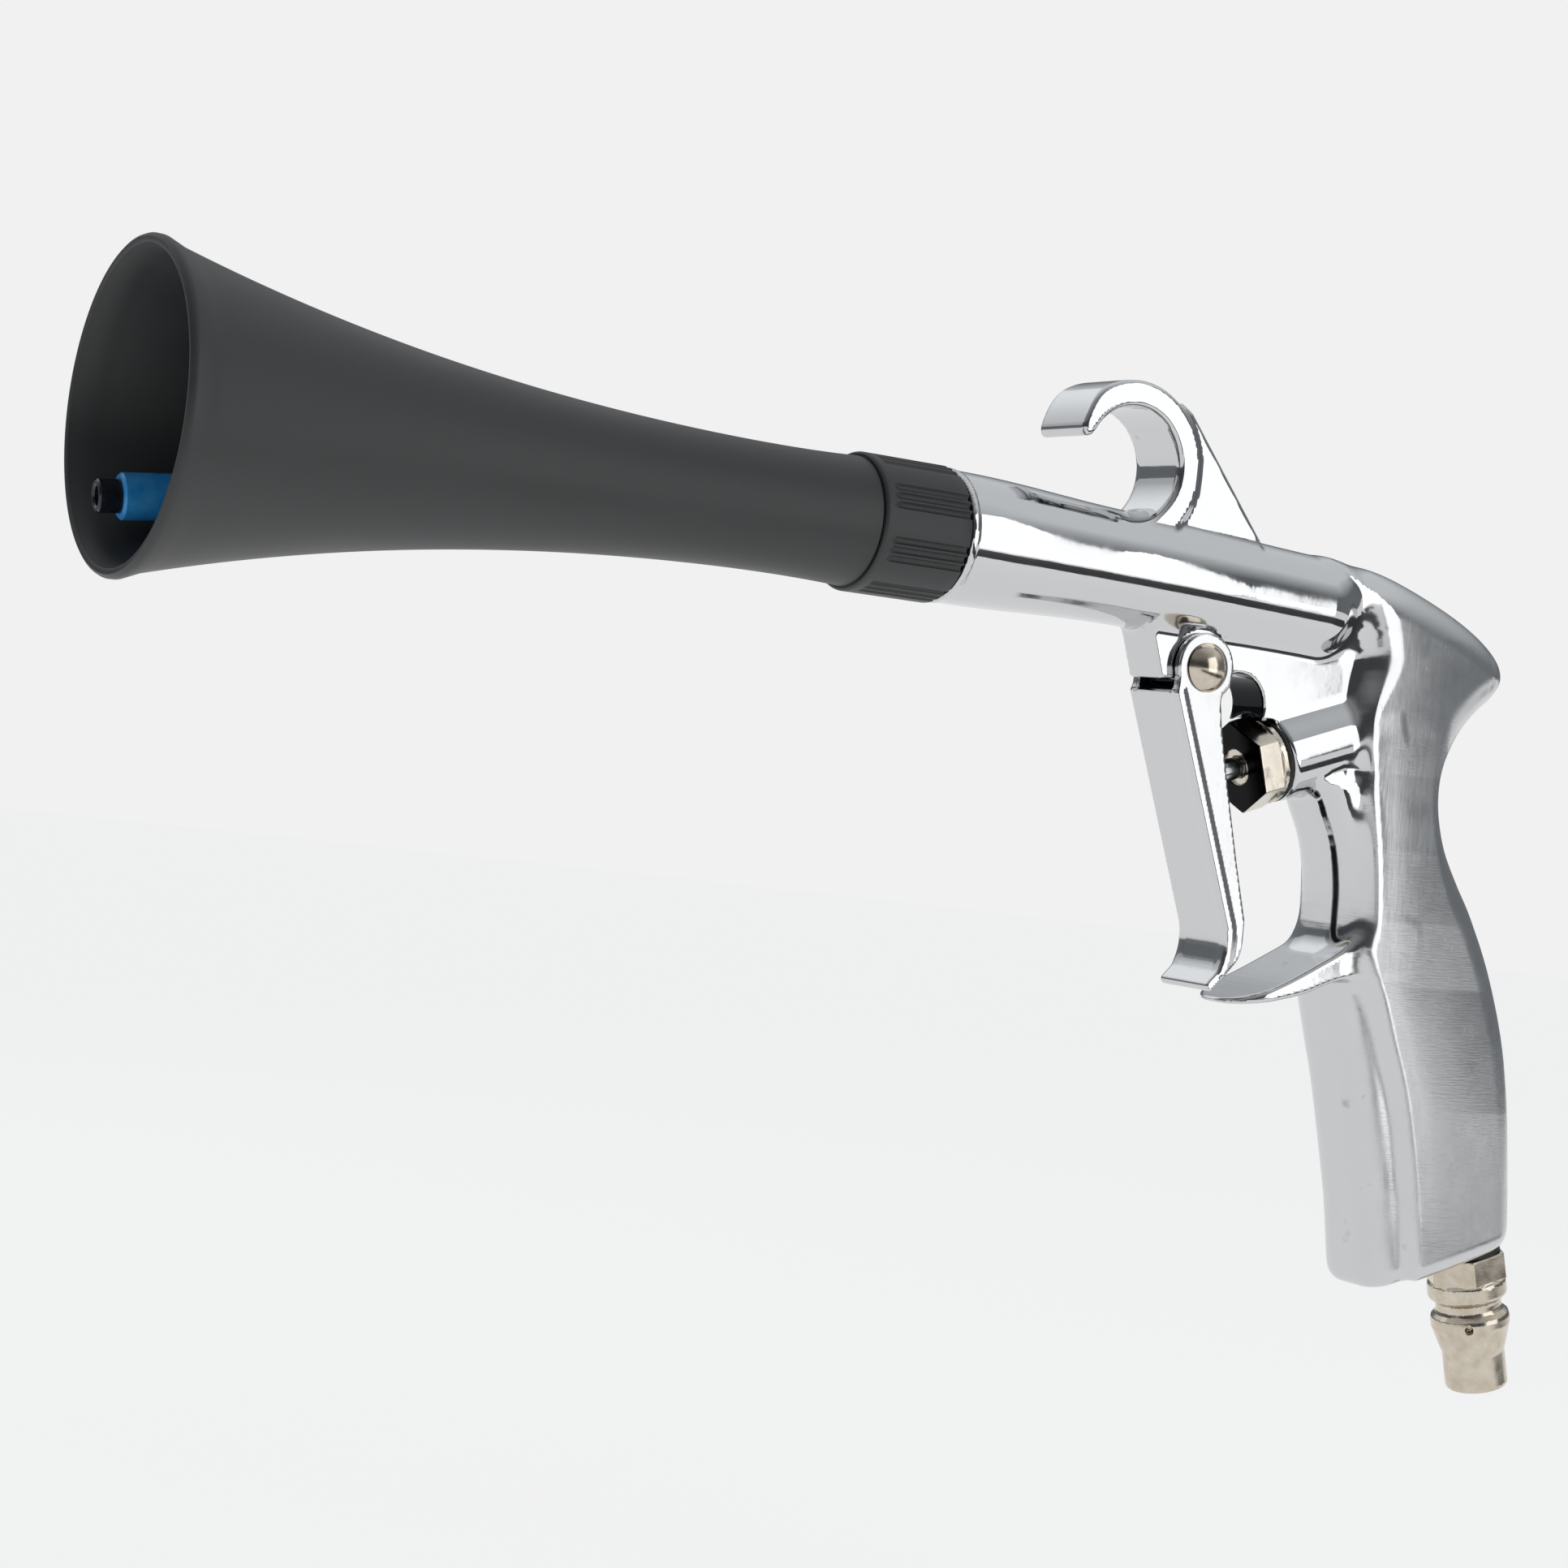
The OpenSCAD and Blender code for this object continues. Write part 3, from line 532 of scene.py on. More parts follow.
# %% [markdown]
# ## Shapes as distance fields
#
# A casting has no sharp joins: every rib runs into the next through a fillet. Boxes and
# cylinders can't give that, so the casting is described by a distance field, a function that
# is negative inside the metal, zero on its skin and positive outside. Two fields join with a
# fillet when their smaller value is taken softly. A net of squares is then stretched over
# the places where the field is zero, and each corner is slid onto the exact skin.

# %% Distance helpers
def soft_min(a, b, fillet):
    """Joins two fields with a fillet of about that size."""
    h = np.clip(0.5 + 0.5 * (b - a) / fillet, 0, 1)
    return b + (a - b) * h - fillet * h * (1 - h)


def soft_max(a, b, fillet):
    """Keeps what is in both fields, with a rounded edge."""
    return -soft_min(-a, -b, fillet)


def round_max(a, b, edge):
    """Keeps what is in both fields, with an edge of just that radius."""
    a, b = a + edge, b + edge
    return np.minimum(np.maximum(a, b), 0) + np.hypot(np.maximum(a, 0), np.maximum(b, 0)) - edge


def slab(outline, y, half, edge):
    """An outline given thickness across the gun, with its edges rounded."""
    return round_max(outline, np.abs(y) - half, edge)


def curve(points, steps=5, closed=True):
    """A smooth line through the points (a Catmull-Rom curve)."""
    p = np.array(points, float)
    if closed:
        p = np.vstack([p[-1], p, p[0], p[1]])
    else:
        p = np.vstack([2 * p[0] - p[1], p, 2 * p[-1] - p[-2]])
    t = np.linspace(0, 1, steps, endpoint=False)[:, None]
    runs = []
    for a, b, c, d in zip(p[:-3], p[1:-2], p[2:-1], p[3:]):
        runs.append(0.5 * (2 * b + (c - a) * t + (2 * a - 5 * b + 4 * c - d) * t**2
                           + (3 * b - 3 * c + d - a) * t**3))
    line = np.vstack(runs)
    return line if closed else np.vstack([line, p[-2]])


def to_line(x, z, line, closed=True):
    """Distance to a line in the side view; negative inside when the line is closed."""
    ends = np.roll(line, -1, axis=0) if closed else line[1:]
    starts = line if closed else line[:-1]
    best = np.full(np.broadcast(x, z).shape, 1e9)
    inside = np.zeros(best.shape, bool)
    for (ax, az), (bx, bz) in zip(starts, ends):
        ex, ez = bx - ax, bz - az
        wx, wz = x - ax, z - az
        t = np.clip((wx * ex + wz * ez) / max(ex * ex + ez * ez, 1e-12), 0, 1)
        best = np.minimum(best, (wx - ex * t) ** 2 + (wz - ez * t) ** 2)
        if closed and ez != 0:
            crosses = ((az > z) != (bz > z)) & (wx < ex * wz / ez)
            inside ^= crosses
    away = np.sqrt(best)
    return np.where(inside, -away, away) if closed else away


def smooth_step(x, start, end):
    """Rises smoothly from 0 at start to 1 at end."""
    t = np.clip((x - start) / (end - start), 0, 1)
    return t * t * (3 - 2 * t)


print("distance helpers ready")

# %% Net over the zero level
def net_over(field, low, high, cell):
    """Corners and squares of a net over the place where the field is zero."""
    axes = [np.arange(lo, hi + cell, cell) for lo, hi in zip(low, high)]
    grid = np.meshgrid(*axes, indexing="ij", sparse=True)
    f = np.broadcast_to(field(*grid), [len(a) for a in axes])
    inside = f < 0

    def corner(array, i, j, k):
        nx, ny, nz = array.shape
        return array[i:nx - 1 + i, j:ny - 1 + j, k:nz - 1 + k]

    ring = [(i, j, k) for i in (0, 1) for j in (0, 1) for k in (0, 1)]
    count = sum(corner(inside, *c).astype(np.int8) for c in ring)
    active = (count > 0) & (count < 8)
    index = np.full(active.shape, -1, np.int64)
    index[active] = np.arange(active.sum())
    base = np.argwhere(active).astype(float)
    total, hits = np.zeros((len(base), 3)), np.zeros(len(base))
    for axis in range(3):
        for c in ring:
            if c[axis]:
                continue
            far = list(c)
            far[axis] = 1
            a, b = corner(f, *c)[active], corner(f, *far)[active]
            cut = (a < 0) != (b < 0)
            t = np.where(cut, a / np.where(cut, a - b, 1), 0)
            p = base + np.array(c)
            p[:, axis] += t
            total[cut] += p[cut]
            hits[cut] += 1
    points = np.array([a[0] for a in axes]) + cell * total / hits[:, None]
    quads = []
    for axis in range(3):
        u, v = (axis + 1) % 3, (axis + 2) % 3
        first = np.moveaxis(inside, (axis, u, v), (0, 1, 2))
        cells = np.moveaxis(index, (axis, u, v), (0, 1, 2))
        change = first[:-1, 1:-1, 1:-1] != first[1:, 1:-1, 1:-1]
        i, j, k = np.nonzero(change)
        around = np.stack([cells[i, j, k], cells[i, j + 1, k], cells[i, j + 1, k + 1],
                           cells[i, j, k + 1]], 1)
        flip = ~first[i, j + 1, k + 1]
        around[flip] = around[flip][:, ::-1]
        quads.append(around)
    return points, np.vstack(quads)


def slope(field, points, step=0.02):
    """The field's value and slope at points, from four samples round each."""
    signs = np.array([(1, -1, -1), (-1, -1, 1), (-1, 1, -1), (1, 1, 1)], float)
    samples = [field(*(points + step * s).T) for s in signs]
    grad = sum(v[:, None] * s for v, s in zip(samples, signs)) / (4 * step)
    return sum(samples) / 4, grad


def relax(field, points, quads, rounds):
    """Evens the net out and slides each corner back onto the exact skin."""
    starts = quads.ravel()
    ends = np.roll(quads, -1, axis=1).ravel()
    both = np.concatenate([starts, ends]), np.concatenate([ends, starts])
    degree = np.bincount(both[0], minlength=len(points))[:, None]
    for _ in range(rounds):
        sums = [np.bincount(both[0], points[both[1], c], len(points)) for c in range(3)]
        points = points + 0.5 * (np.stack(sums, 1) / degree - points)
        value, grad = slope(field, points)
        length = np.maximum((grad**2).sum(1), 0.05)[:, None]
        move = value[:, None] * grad / length
        size = np.linalg.norm(move, axis=1, keepdims=True)
        points = points - move * np.minimum(1, 0.4 / np.maximum(size, 1e-9))
    return points


def cast(name, field, low, high, cell, material, matrix=Matrix(), rounds=2):
    """A mesh object over a field, shaded by the field's own slope so that it reads as one skin."""
    points, quads = net_over(field, low, high, cell)
    points = relax(field, points, quads, rounds)
    grad = slope(field, points)[1]
    grad /= np.maximum(np.linalg.norm(grad, axis=1, keepdims=True), 1e-9)
    made = object_of(name, points, quads.tolist(), matrix, material, sharp=None)
    turned = np.array(matrix.to_3x3()) @ grad.T
    made.data.normals_split_custom_set_from_vertices([tuple(n) for n in turned.T])
    return made


print("net ready")

# %% [markdown]
# ## The cast body
#
# From the front: a barrel that narrows and droops to a ball, a hook on top with a gusset
# behind it, a web under the barrel that the trigger straddles, a boss for the valve, and
# the grip. The grip is a palm swell with a narrower strip down its front, a finger shelf
# that sweeps forward under the trigger, and a tail that keeps the hand from riding up.

# %% Outlines of the body, as side views
PALM = curve([
    (50, -12.6), (56, -10.8), (62.5, -11.2), (71.3, -13.4), (82, -17), (89.8, -20.7), (94.2, -24.4),
    (95.3, -28.3), (93.4, -31.8), (88.9, -35.8), (85.3, -40), (82.9, -44.8), (81.6, -49.6),
    (81.8, -54.4), (84.1, -60.3), (88.1, -66), (93.2, -72.3), (99.2, -81.8), (105, -95),
    (108.5, -108), (111.2, -125.7), (112.3, -140), (112.4, -160), (92, -164), (84.5, -148),
    (79.5, -126), (75, -110), (70, -98.5), (66.6, -91), (63.8, -86), (62, -81.2),
    (62.6, -76), (61.6, -66), (59.9, -56), (58.6, -48), (57.3, -38), (56.6, -28), (54, -20),
])
FRONT_STRIP = curve([
    (50, -50), (52.6, -56), (56.3, -62.7), (58.2, -70), (58.7, -77), (58.7, -84), (60.1, -91.3),
    (63.1, -100), (66.2, -108.8), (71.8, -128.2), (77.5, -150), (90, -160), (92, -140),
    (84, -110), (76, -90), (70, -70), (66, -55), (60, -47),
], 4)
SHELF = curve([
    (66, -75.5), (60.6, -80.4), (52.9, -84.7), (45.5, -88.4), (38.2, -91.4), (35.3, -92.6),
    (36.6, -93.1), (44.5, -91.6), (50.8, -90), (57.7, -87.4), (66, -85.5), (74, -84), (74, -76),
], 4)
GUSSET = np.array([
    (9.8, 12.4), (12.4, 10.9), (30.8, -9.4), (30.8, -17), (-5, -19), (-1, -9.5),
], float)
WEB = np.array([
    (8.8, -22), (9.7, -29), (12.4, -36.2), (26, -36.2), (30, -50), (62, -50), (62, -22),
], float)
EYE_R, BAND, TIP_THINNER, TIP_DEG = 10.25, 4.5, 1.9, 163
HOOK_HALF, GUSSET_HALF = 6.75, 5.9
BARREL_LEN, BARREL_R, BALL_X = 83, 11.35, 47
WEB_HALF, LUG_R = 4.7, 5.3
BOSS_R, BOSS_LEN = 8.2, 24
SHELF_TIP, SHELF_HALF = 43.8, 8.5      # where the shelf's rounded tip is centred, and its radius
PIN_R, SEAT_R = 2.0, 6.9
SPIGOT_R, SPIGOT_LEN, SOCKET_R, AIR_R = 10, 10.5, 7.65, 4.0
GLAND_R, GLAND_DEPTH, CHAMBER_R, CHAMBER_DEPTH = 6.05, 10.1, 5.1, 25.5
PORT_R, PORT_DEPTH = 6.6, 11
print("outlines:", len(PALM), len(FRONT_STRIP), len(SHELF))


# %% Fields of the body's parts
def barrel_field(x, y, z):
    """Narrows and droops towards the ball at its rear, and has a fine lip at its shoulder."""
    back = np.clip((x - SHOULDER_X) / BARREL_LEN, 0, 1)
    centre = AXIS_Z - 2.3 * back**1.6
    radius = BARREL_R - 1.2 * smooth_step(x, -32, 4) - 0.7 * smooth_step(x, 0, BALL_X)
    radius = radius + 0.25 * (1 - smooth_step(x, SHOULDER_X + 1.0, SHOULDER_X + 1.6))
    beyond = np.maximum(x - BALL_X, 0)
    round_part = np.sqrt(beyond**2 + y**2 + (z - centre) ** 2) - radius
    return soft_max(round_part, SHOULDER_X - x, 0.4)


def hook_field(x, y, z):
    """A ring that is open in front and thins towards its tip, and the gusset behind it."""
    away = np.hypot(x, z)
    band = BAND - TIP_THINNER * smooth_step(np.degrees(np.arctan2(z, x)), 118, 164)
    ring = np.abs(away - EYE_R - band / 2) - band / 2
    tip = math.radians(TIP_DEG)
    below_tip = -x * math.sin(tip) + z * math.cos(tip)
    ahead = x + 3.0 + 0.07 * z
    opening = np.maximum(-below_tip, ahead)
    ring = soft_max(ring, -opening, 2.2)
    gusset = np.maximum(to_line(x, z, GUSSET), EYE_R - away)
    return soft_min(slab(ring, y, HOOK_HALF, 0.9), slab(gusset, y, GUSSET_HALF, 0.9), 1.0)


def valve_place(x, y, z):
    """Distance along the valve's axis from the boss's face, and away from the axis."""
    dx, dz = x - BOSS[0], z - BOSS[2]
    along = dx * VALVE_DIR[0] + dz * VALVE_DIR[2]
    across = dz * VALVE_DIR[0] - dx * VALVE_DIR[2]
    return along, np.hypot(across, y)


def web_field(x, y, z):
    """The plate under the barrel, with the pivot's lug and a scoop round the gland nut."""
    web = to_line(x, z, WEB)
    web = soft_max(web, 5.85 - np.hypot(x - 30.7, z - PIVOT[2] + 5.9), 0.5)
    lug = np.hypot(x - PIVOT[0], z - PIVOT[2]) - LUG_R
    along, away = valve_place(x, y, z)
    ahead_of_boss = np.maximum(away - 9.0, along)
    plate = slab(np.minimum(web, lug), y, WEB_HALF, 0.7)
    return soft_max(plate, -ahead_of_boss, 0.6)


def boss_field(x, y, z):
    along, away = valve_place(x, y, z)
    return soft_max(soft_max(away - BOSS_R, -along, 1.0), along - BOSS_LEN, 1.0)


# Up the grip: x of the palm's front edge, and half the palm's width
FRONT_Z, FRONT_X = [-150, -110, -87, -76, -55, -38, -20], [85, 75, 64, 62.6, 60, 57.3, 56.4]
HALF_Z, HALF_Y = [-150, -75, -62, -48, -34, -22, -12], [10.8, 10.8, 10.5, 9.8, 9.6, 9.3, 8.6]


def grip_field(x, y, z):
    """The palm, the narrower strip down its front and the finger shelf."""
    front, half = np.interp(z, FRONT_Z, FRONT_X), np.interp(z, HALF_Z, HALF_Y)
    # The side is flat along its front edge and falls away towards the back of the hand
    half = half - 2.4 * np.clip((x - front - 6) / 27, 0, 1) ** 1.8
    edge = 2.4 + 6.0 * np.maximum(smooth_step(x, front + 6, front + 22), smooth_step(z, -40, -26))
    palm = slab(to_line(x, z, PALM), y, half, np.minimum(edge, half - 0.4))
    strip = slab(to_line(x, z, FRONT_STRIP), y, 8.4, 6.0)
    sides = soft_min(palm, strip, 2.6)
    plan = np.hypot(np.minimum(x - SHELF_TIP, 0), y) - SHELF_HALF
    shelf = round_max(to_line(x, z, SHELF), plan, 0.9)
    grip = soft_min(sides, shelf, 3.0)
    return soft_max(grip, plug_place(x, z)[0], 4.0)


def plug_place(x, z):
    """Distance along the plug's axis from the heel, and across it in the side view."""
    dx, dz = x - HEEL[0], z - HEEL[2]
    return dx * PLUG_DIR[0] + dz * PLUG_DIR[2], dz * PLUG_DIR[0] - dx * PLUG_DIR[2]


def bores_field(x, y, z):
    """The holes and seats that the other pieces fit in."""
    from_pivot = np.hypot(x - PIVOT[0], z - PIVOT[2])
    ear_seats = np.maximum(from_pivot - SEAT_R, WEB_HALF + 0.02 - np.abs(y))
    pin = from_pivot - PIN_R - 0.05
    along, away = valve_place(x, y, z)
    gland = np.maximum(away - GLAND_R, along - GLAND_DEPTH)
    chamber = np.maximum(away - CHAMBER_R, along - CHAMBER_DEPTH)
    down, off = plug_place(x, z)
    port = np.maximum(np.hypot(off, y) - PORT_R, -PORT_DEPTH - down)
    from_axis = np.hypot(y, z - AXIS_Z)
    socket = np.maximum(from_axis - SOCKET_R, x - SHOULDER_X + 0.3)
    air = np.maximum(from_axis - AIR_R, x - 40)
    holes = [ear_seats, pin, gland, chamber, port, socket, air]
    return np.minimum.reduce(np.broadcast_arrays(*holes))


def body_field(x, y, z):
    body = soft_min(barrel_field(x, y, z), hook_field(x, y, z), 1.6)
    body = soft_min(body, grip_field(x, y, z), 5.0)
    lower = soft_min(web_field(x, y, z), boss_field(x, y, z), 2.0)
    body = soft_min(body, lower, 2.4)
    ends = np.maximum(SHOULDER_X - SPIGOT_LEN - x, x - SHOULDER_X - 1)
    spigot = np.maximum(np.hypot(y, z - AXIS_Z) - SPIGOT_R, ends)
    return np.maximum(np.minimum(body, spigot), -bores_field(x, y, z))


# %% Cast the body
low, high = span("gun_body")
body_cell, body_rounds = ((0.52, 2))
body = cast("cast_body", body_field, low - 1, high + 1, body_cell, ALUMINIUM, rounds=body_rounds)
fit_in(body, "body", "cast_aluminium", "gun_body")

# %% [markdown]
# ## The trigger
#
# The lever is one casting: a front plate that ends in a turned-up foot, two flanges behind it
# and an ear on each side for the pin. The same distance fields give it its small fillets.

# %% Trigger
PLATE_TOP, LEAN = (14.5, AXIS_Z - 21.4), math.radians(22.6)
LEVER_HALF, LEVER_WALL, EAR_R = 6.75, 1.8, 6.2


def on_plate(along, behind):
    """A point of the lever's side view, from the top of its front plate."""
    return (PLATE_TOP[0] + along * math.sin(LEAN) + behind * math.cos(LEAN),
            PLATE_TOP[1] - along * math.cos(LEAN) + behind * math.sin(LEAN))


def line_on_plate(*places):
    return [on_plate(*p) for p in places]


PLATE_LINE = curve(line_on_plate((0.2, 0.9), (20, 0.9), (40.5, 0.9), (45, 0.8), (48.6, -0.4),
                                 (51.8, -2.8), (53.4, -5.9)), 8, closed=False)
FLANGE = np.vstack([
    line_on_plate((-0.4, 0.3), (41, 0.3)),
    curve(line_on_plate((45, 0.3), (48.6, -0.9), (51.4, -3.0), (52.6, -3.0), (51.4, 0.6),
                        (49, 2.9), (44.5, 4.7)), 5, closed=False),
    line_on_plate((34, 5.6), (18, 7.3), (9, 8.5), (3, 9.8)),
    [(PIVOT[0] + 5.6, PIVOT[2] - 2.6), (PIVOT[0], PIVOT[2] + 1), (PIVOT[0] - 5.6, PIVOT[2] - 2.6)],
])


def trigger_field(x, y, z):
    """A front plate, and a flange with an ear behind each of its edges."""
    band = to_line(x, z, PLATE_LINE, closed=False) - LEVER_WALL / 2
    top = (PLATE_TOP[0] - x) * math.sin(LEAN) + (z - PLATE_TOP[1]) * math.cos(LEAN)
    plate = slab(np.maximum(band, top), y, LEVER_HALF, 0.45)
    from_pivot = np.hypot(x - PIVOT[0], z - PIVOT[2])
    side = soft_min(to_line(x, z, FLANGE), from_pivot - EAR_R, 1.2)
    middle = LEVER_HALF - LEVER_WALL / 2
    flange = slab(side, np.abs(y) - middle, LEVER_WALL / 2, 0.45)
    lever = soft_min(plate, flange, 0.8)
    gap = np.maximum(np.abs(y) - (LEVER_HALF - LEVER_WALL), -top)
    lever = np.maximum(lever, -gap)
    return np.maximum(lever, PIN_R + 0.08 - from_pivot)


low, high = span("trigger")
lever_cell = 0.42
lever = cast("cast_trigger", trigger_field, low - 2, high + 2, lever_cell, LEVER)
fit_in(lever, "trigger_lever", "trigger_aluminium", "trigger")

# %% [markdown]
# ## Plated brass pieces
#
# The gland nut, the pivot's domed heads and the air plug are turned from brass bar and
# nickel plated. The nut and the plug start from hexagonal bar, and the lathe leaves a
# chamfer where it meets the hexagon's corners. Those two are fields again, in their own axes.

# %% Gland nut
def hexagon(u, v, across):
    """A hexagonal bar with two flats facing the gun's sides."""
    u, v = np.abs(u), np.abs(v)
    return np.maximum(v, u * math.cos(math.radians(30)) + v * 0.5) - across / 2


def bar(u, v, w, radius, low, high, edge=0.25):
    """A turned length from low to high, with broken edges."""
    return soft_max(np.hypot(u, v) - radius, np.maximum(low - w, w - high), edge)


def chamfer(u, v, w, radius, level):
    """A shallow cone that takes off a hexagon's corners above a level, at a radius."""
    return (np.hypot(u, v) - radius) * 0.5 + (w - level) * 0.866


GLAND_FLATS, HEX_BACK, STEM_HOLE_R = 15.0, -2.2, 2.08


def gland_field(u, v, w):
    """A hexagon with both ends chamfered, a washer face, a plain shank and a bore."""
    nut = soft_max(hexagon(u, v, GLAND_FLATS), np.maximum(HEX_FACE - w, w - HEX_BACK), 0.25)
    nut = soft_max(nut, chamfer(u, v, -w, 8.35, -HEX_FACE), 0.2)
    nut = soft_max(nut, chamfer(u, v, w, 8.4, HEX_BACK - 0.1), 0.2)
    nut = np.minimum(nut, bar(u, v, w, 8.0, -2.4, -1.1, 0.2))
    nut = np.minimum(nut, bar(u, v, w, 6.0, -1.5, 8.9, 0.3))
    nut = np.maximum(nut, -bar(u, v, w, 3.4, -8.5, -6.7, 0.2))
    return np.maximum(nut, STEM_HOLE_R - np.hypot(u, v))


valve_frame = frame_from(BOSS, VALVE_DIR)
nut = cast("gland_hex_nut", gland_field, (-9.2, -8.4, -7.9), (9.2, 8.4, 9.6), 0.33, GLAND_NICKEL,
           valve_frame)
fit_in(nut, "body", "nickel_brass", "gland_nut")

# %% Air plug
# Corners of the plug's profile, as (radius, distance below the heel)
PLUG_LINE = np.array([
    (0, -10), (6.55, -10), (6.55, 0.6), (3, 0.9), (7.1, 6.2), (7.45, 6.5), (7.6, 6.9), (7.6, 9.1),
    (7.3, 9.6), (6.45, 10.3), (6.3, 10.8), (6.3, 11.9), (6.6, 12.5), (7.4, 13.2), (7.6, 13.9),
    (7.6, 15.2), (7.35, 16.0), (6.5, 19.2), (6.05, 20.5), (6, 21), (6, 27.3), (5.75, 27.8),
    (5.3, 28), (0, 28),
], float)
PLUG_FLATS, PLUG_HEX_TOP, PLUG_HEX_END, PLUG_END = 14.0, 1.0, 6.3, 28
PLUG_BORE, PLUG_MOUTH_R, RELIEF_AT, RELIEF_R = 3.75, 4.6, 14.6, 0.75


def plug_field(u, v, w):
    """The turned plug with its hexagon, four relief holes and a countersunk bore."""
    away = np.hypot(u, v)
    ends = np.maximum(PLUG_HEX_TOP - w, w - PLUG_HEX_END)
    hexed = soft_max(hexagon(u, v, PLUG_FLATS), ends, 0.2)
    hexed = soft_max(hexed, chamfer(u, v, -w, 7.75, -PLUG_HEX_TOP), 0.2)
    plug = np.minimum(to_line(away, w, PLUG_LINE), hexed)
    # The relief holes are round the bulge, between the flats
    diagonal = np.abs(np.abs(u) - np.abs(v)) / math.sqrt(2)
    hole = np.maximum(np.hypot(diagonal, w - RELIEF_AT) - RELIEF_R, 5.6 - away)
    plug = soft_max(plug, -hole, 0.2)
    countersink = (away - w - (PLUG_MOUTH_R - PLUG_END)) * 0.7071
    return np.maximum(plug, -np.minimum(away - PLUG_BORE, countersink))


plug_frame = frame_from(HEEL, PLUG_DIR)
plug = cast("quick_coupler_plug", plug_field, (-8.6, -8.6, -10.6), (8.6, 8.6, 28.6), 0.34, NICKEL,
            plug_frame)
fit_in(plug, "body", "nickel_brass", "air_plug")

# %% Pivot pin and cap
HEAD_Y = LEVER_HALF + 0.2
HEAD_R, HEAD_H = 4.4, 2.4


def dome():
    """Half of a domed head's profile, from its rim to its crown, above the head's flat side."""
    ball = (HEAD_R**2 + HEAD_H**2) / (2 * HEAD_H)
    turns = [math.asin((HEAD_R - 0.05) / ball) * i / 14 for i in range(14, 0, -1)]
    crown = [(HEAD_H - ball + ball * math.cos(a), ball * math.sin(a)) for a in turns]
    return [(0, HEAD_R - 0.2), (0.14, HEAD_R)] + crown + [(HEAD_H, 0.01)]


def headed_pin(name, side, shank_r, shank_len):
    """A shank with a domed head on one side of the gun: side is -1 or 1."""
    profile = [(-shank_len, 0.01), (-shank_len, shank_r), (0, shank_r)] + dome()
    head_at = (PIVOT[0], side * HEAD_Y, PIVOT[2])
    return turn(name, profile, head_at, (0, side, 0), NICKEL, steps=64)


pin = headed_pin("pivot_pin_head", -1, PIN_R, 2 * HEAD_Y - 0.5)
cap = headed_pin("pivot_cap_head", 1, PIN_R - 0.8, 5.0)
fit_in(pin, "body", "nickel_brass", "pivot_pin")
fit_in(cap, "body", "nickel_brass", "pivot_cap")

# %% [markdown]
# ## Seals and the valve's stem
#
# Two black seals show as thin dark lines, one behind the gland nut and one above the plug.
# The stem is a ground steel pin whose rounded tip the trigger pushes.

# %% Seals and stem
STEM_R, STEM_THIN_R = 2.0, 1.4


def ring_profile(centre_r, wire, along=0.0, steps=16):
    """The round section of a seal."""
    return [(along + wire * math.sin(a), centre_r + wire * math.cos(a))
            for a in (2 * math.pi * i / steps for i in range(steps))]


gland_ring = turn("gland_seal_ring", ring_profile(7.5, 0.55, -0.55), BOSS, VALVE_DIR, RUBBER)
fit_in(gland_ring, "body", "black_rubber", "gland_o_ring")
washer = [(0.0, 6.6), (1.0, 6.6), (1.0, 6.85), (0.85, 7.0), (0.15, 7.0), (0.0, 6.85)]
fit_in(turn("plug_washer", washer, HEEL, PLUG_DIR, RUBBER), "body", "black_rubber", "plug_seal")


def stem():
    """A pin with a rounded tip, thinner behind the gland, between the plain stem's two ends."""
    low, high = span("valve_stem")
    tip = (low[0] - BOSS[0]) / VALVE_DIR[0] + 0.65
    end = (high[0] - BOSS[0]) / VALVE_DIR[0] - 0.45
    nose = [(tip + 1.2 - 1.2 * math.cos(a), STEM_R * math.sin(a) + 0.01)
            for a in (0.0, 0.4, 0.8, 1.2, 1.57)]
    profile = nose + [(2.0, STEM_R), (2.0, STEM_THIN_R), (end, STEM_THIN_R), (end, 0.01)]
    return turn("push_stem", profile, BOSS, VALVE_DIR, STEEL, steps=48)


fit_in(stem(), "valve", "stainless_steel", "valve_stem")

# %% [markdown]
# ## The valve spring
#
# The spring is a round wire wound about the valve's axis. Its far end rests on the bottom of
# the chamber, and the poppet pushes its near end as the valve opens. So the piece stays with
# the casting.

# %% Valve spring
WIRE_R, COIL_R, COILS = 0.45, 3.8, 6


def coil(start, end, steps=40, sides=10):
    """A wire wound about the valve's axis, between two places along it."""
    rings = COILS * steps + 1
    points, faces = [], []
    for i in range(rings):
        a = 2 * math.pi * i / steps
        middle = start + WIRE_R + (end - start - 2 * WIRE_R) * i / (rings - 1)
        for k in range(sides):
            b = 2 * math.pi * k / sides
            r = COIL_R + WIRE_R * math.cos(b)
            points.append((r * math.cos(a), r * math.sin(a), middle + WIRE_R * math.sin(b)))
    for i in range(rings - 1):
        for k in range(sides):
            m = (k + 1) % sides
            faces.append((i * sides + k, (i + 1) * sides + k, (i + 1) * sides + m, i * sides + m))
    faces += [tuple(range(sides)), tuple(reversed(range((rings - 1) * sides, rings * sides)))]
    return object_of("coil_spring", points, faces, frame_from(BOSS, VALVE_DIR), SPRING)


wire = np.array([v.co for v in frame["nodes"]["valve_spring"].data.vertices]) / MM
wire_along = (wire - BOSS) @ VALVE_DIR
spring_start, spring_end = wire_along.min(), wire_along.max()
spring = coil(spring_start, spring_end)
fit_in(spring, "body", "spring_steel", "valve_spring")
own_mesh(spring)

# %% [markdown]
# ## Pieces inside
#
# The bearings, clips, valve seat and poppet are hidden, but they are there when
# the gun is taken apart. Their plain solids have the right shape, so they only get finishes.

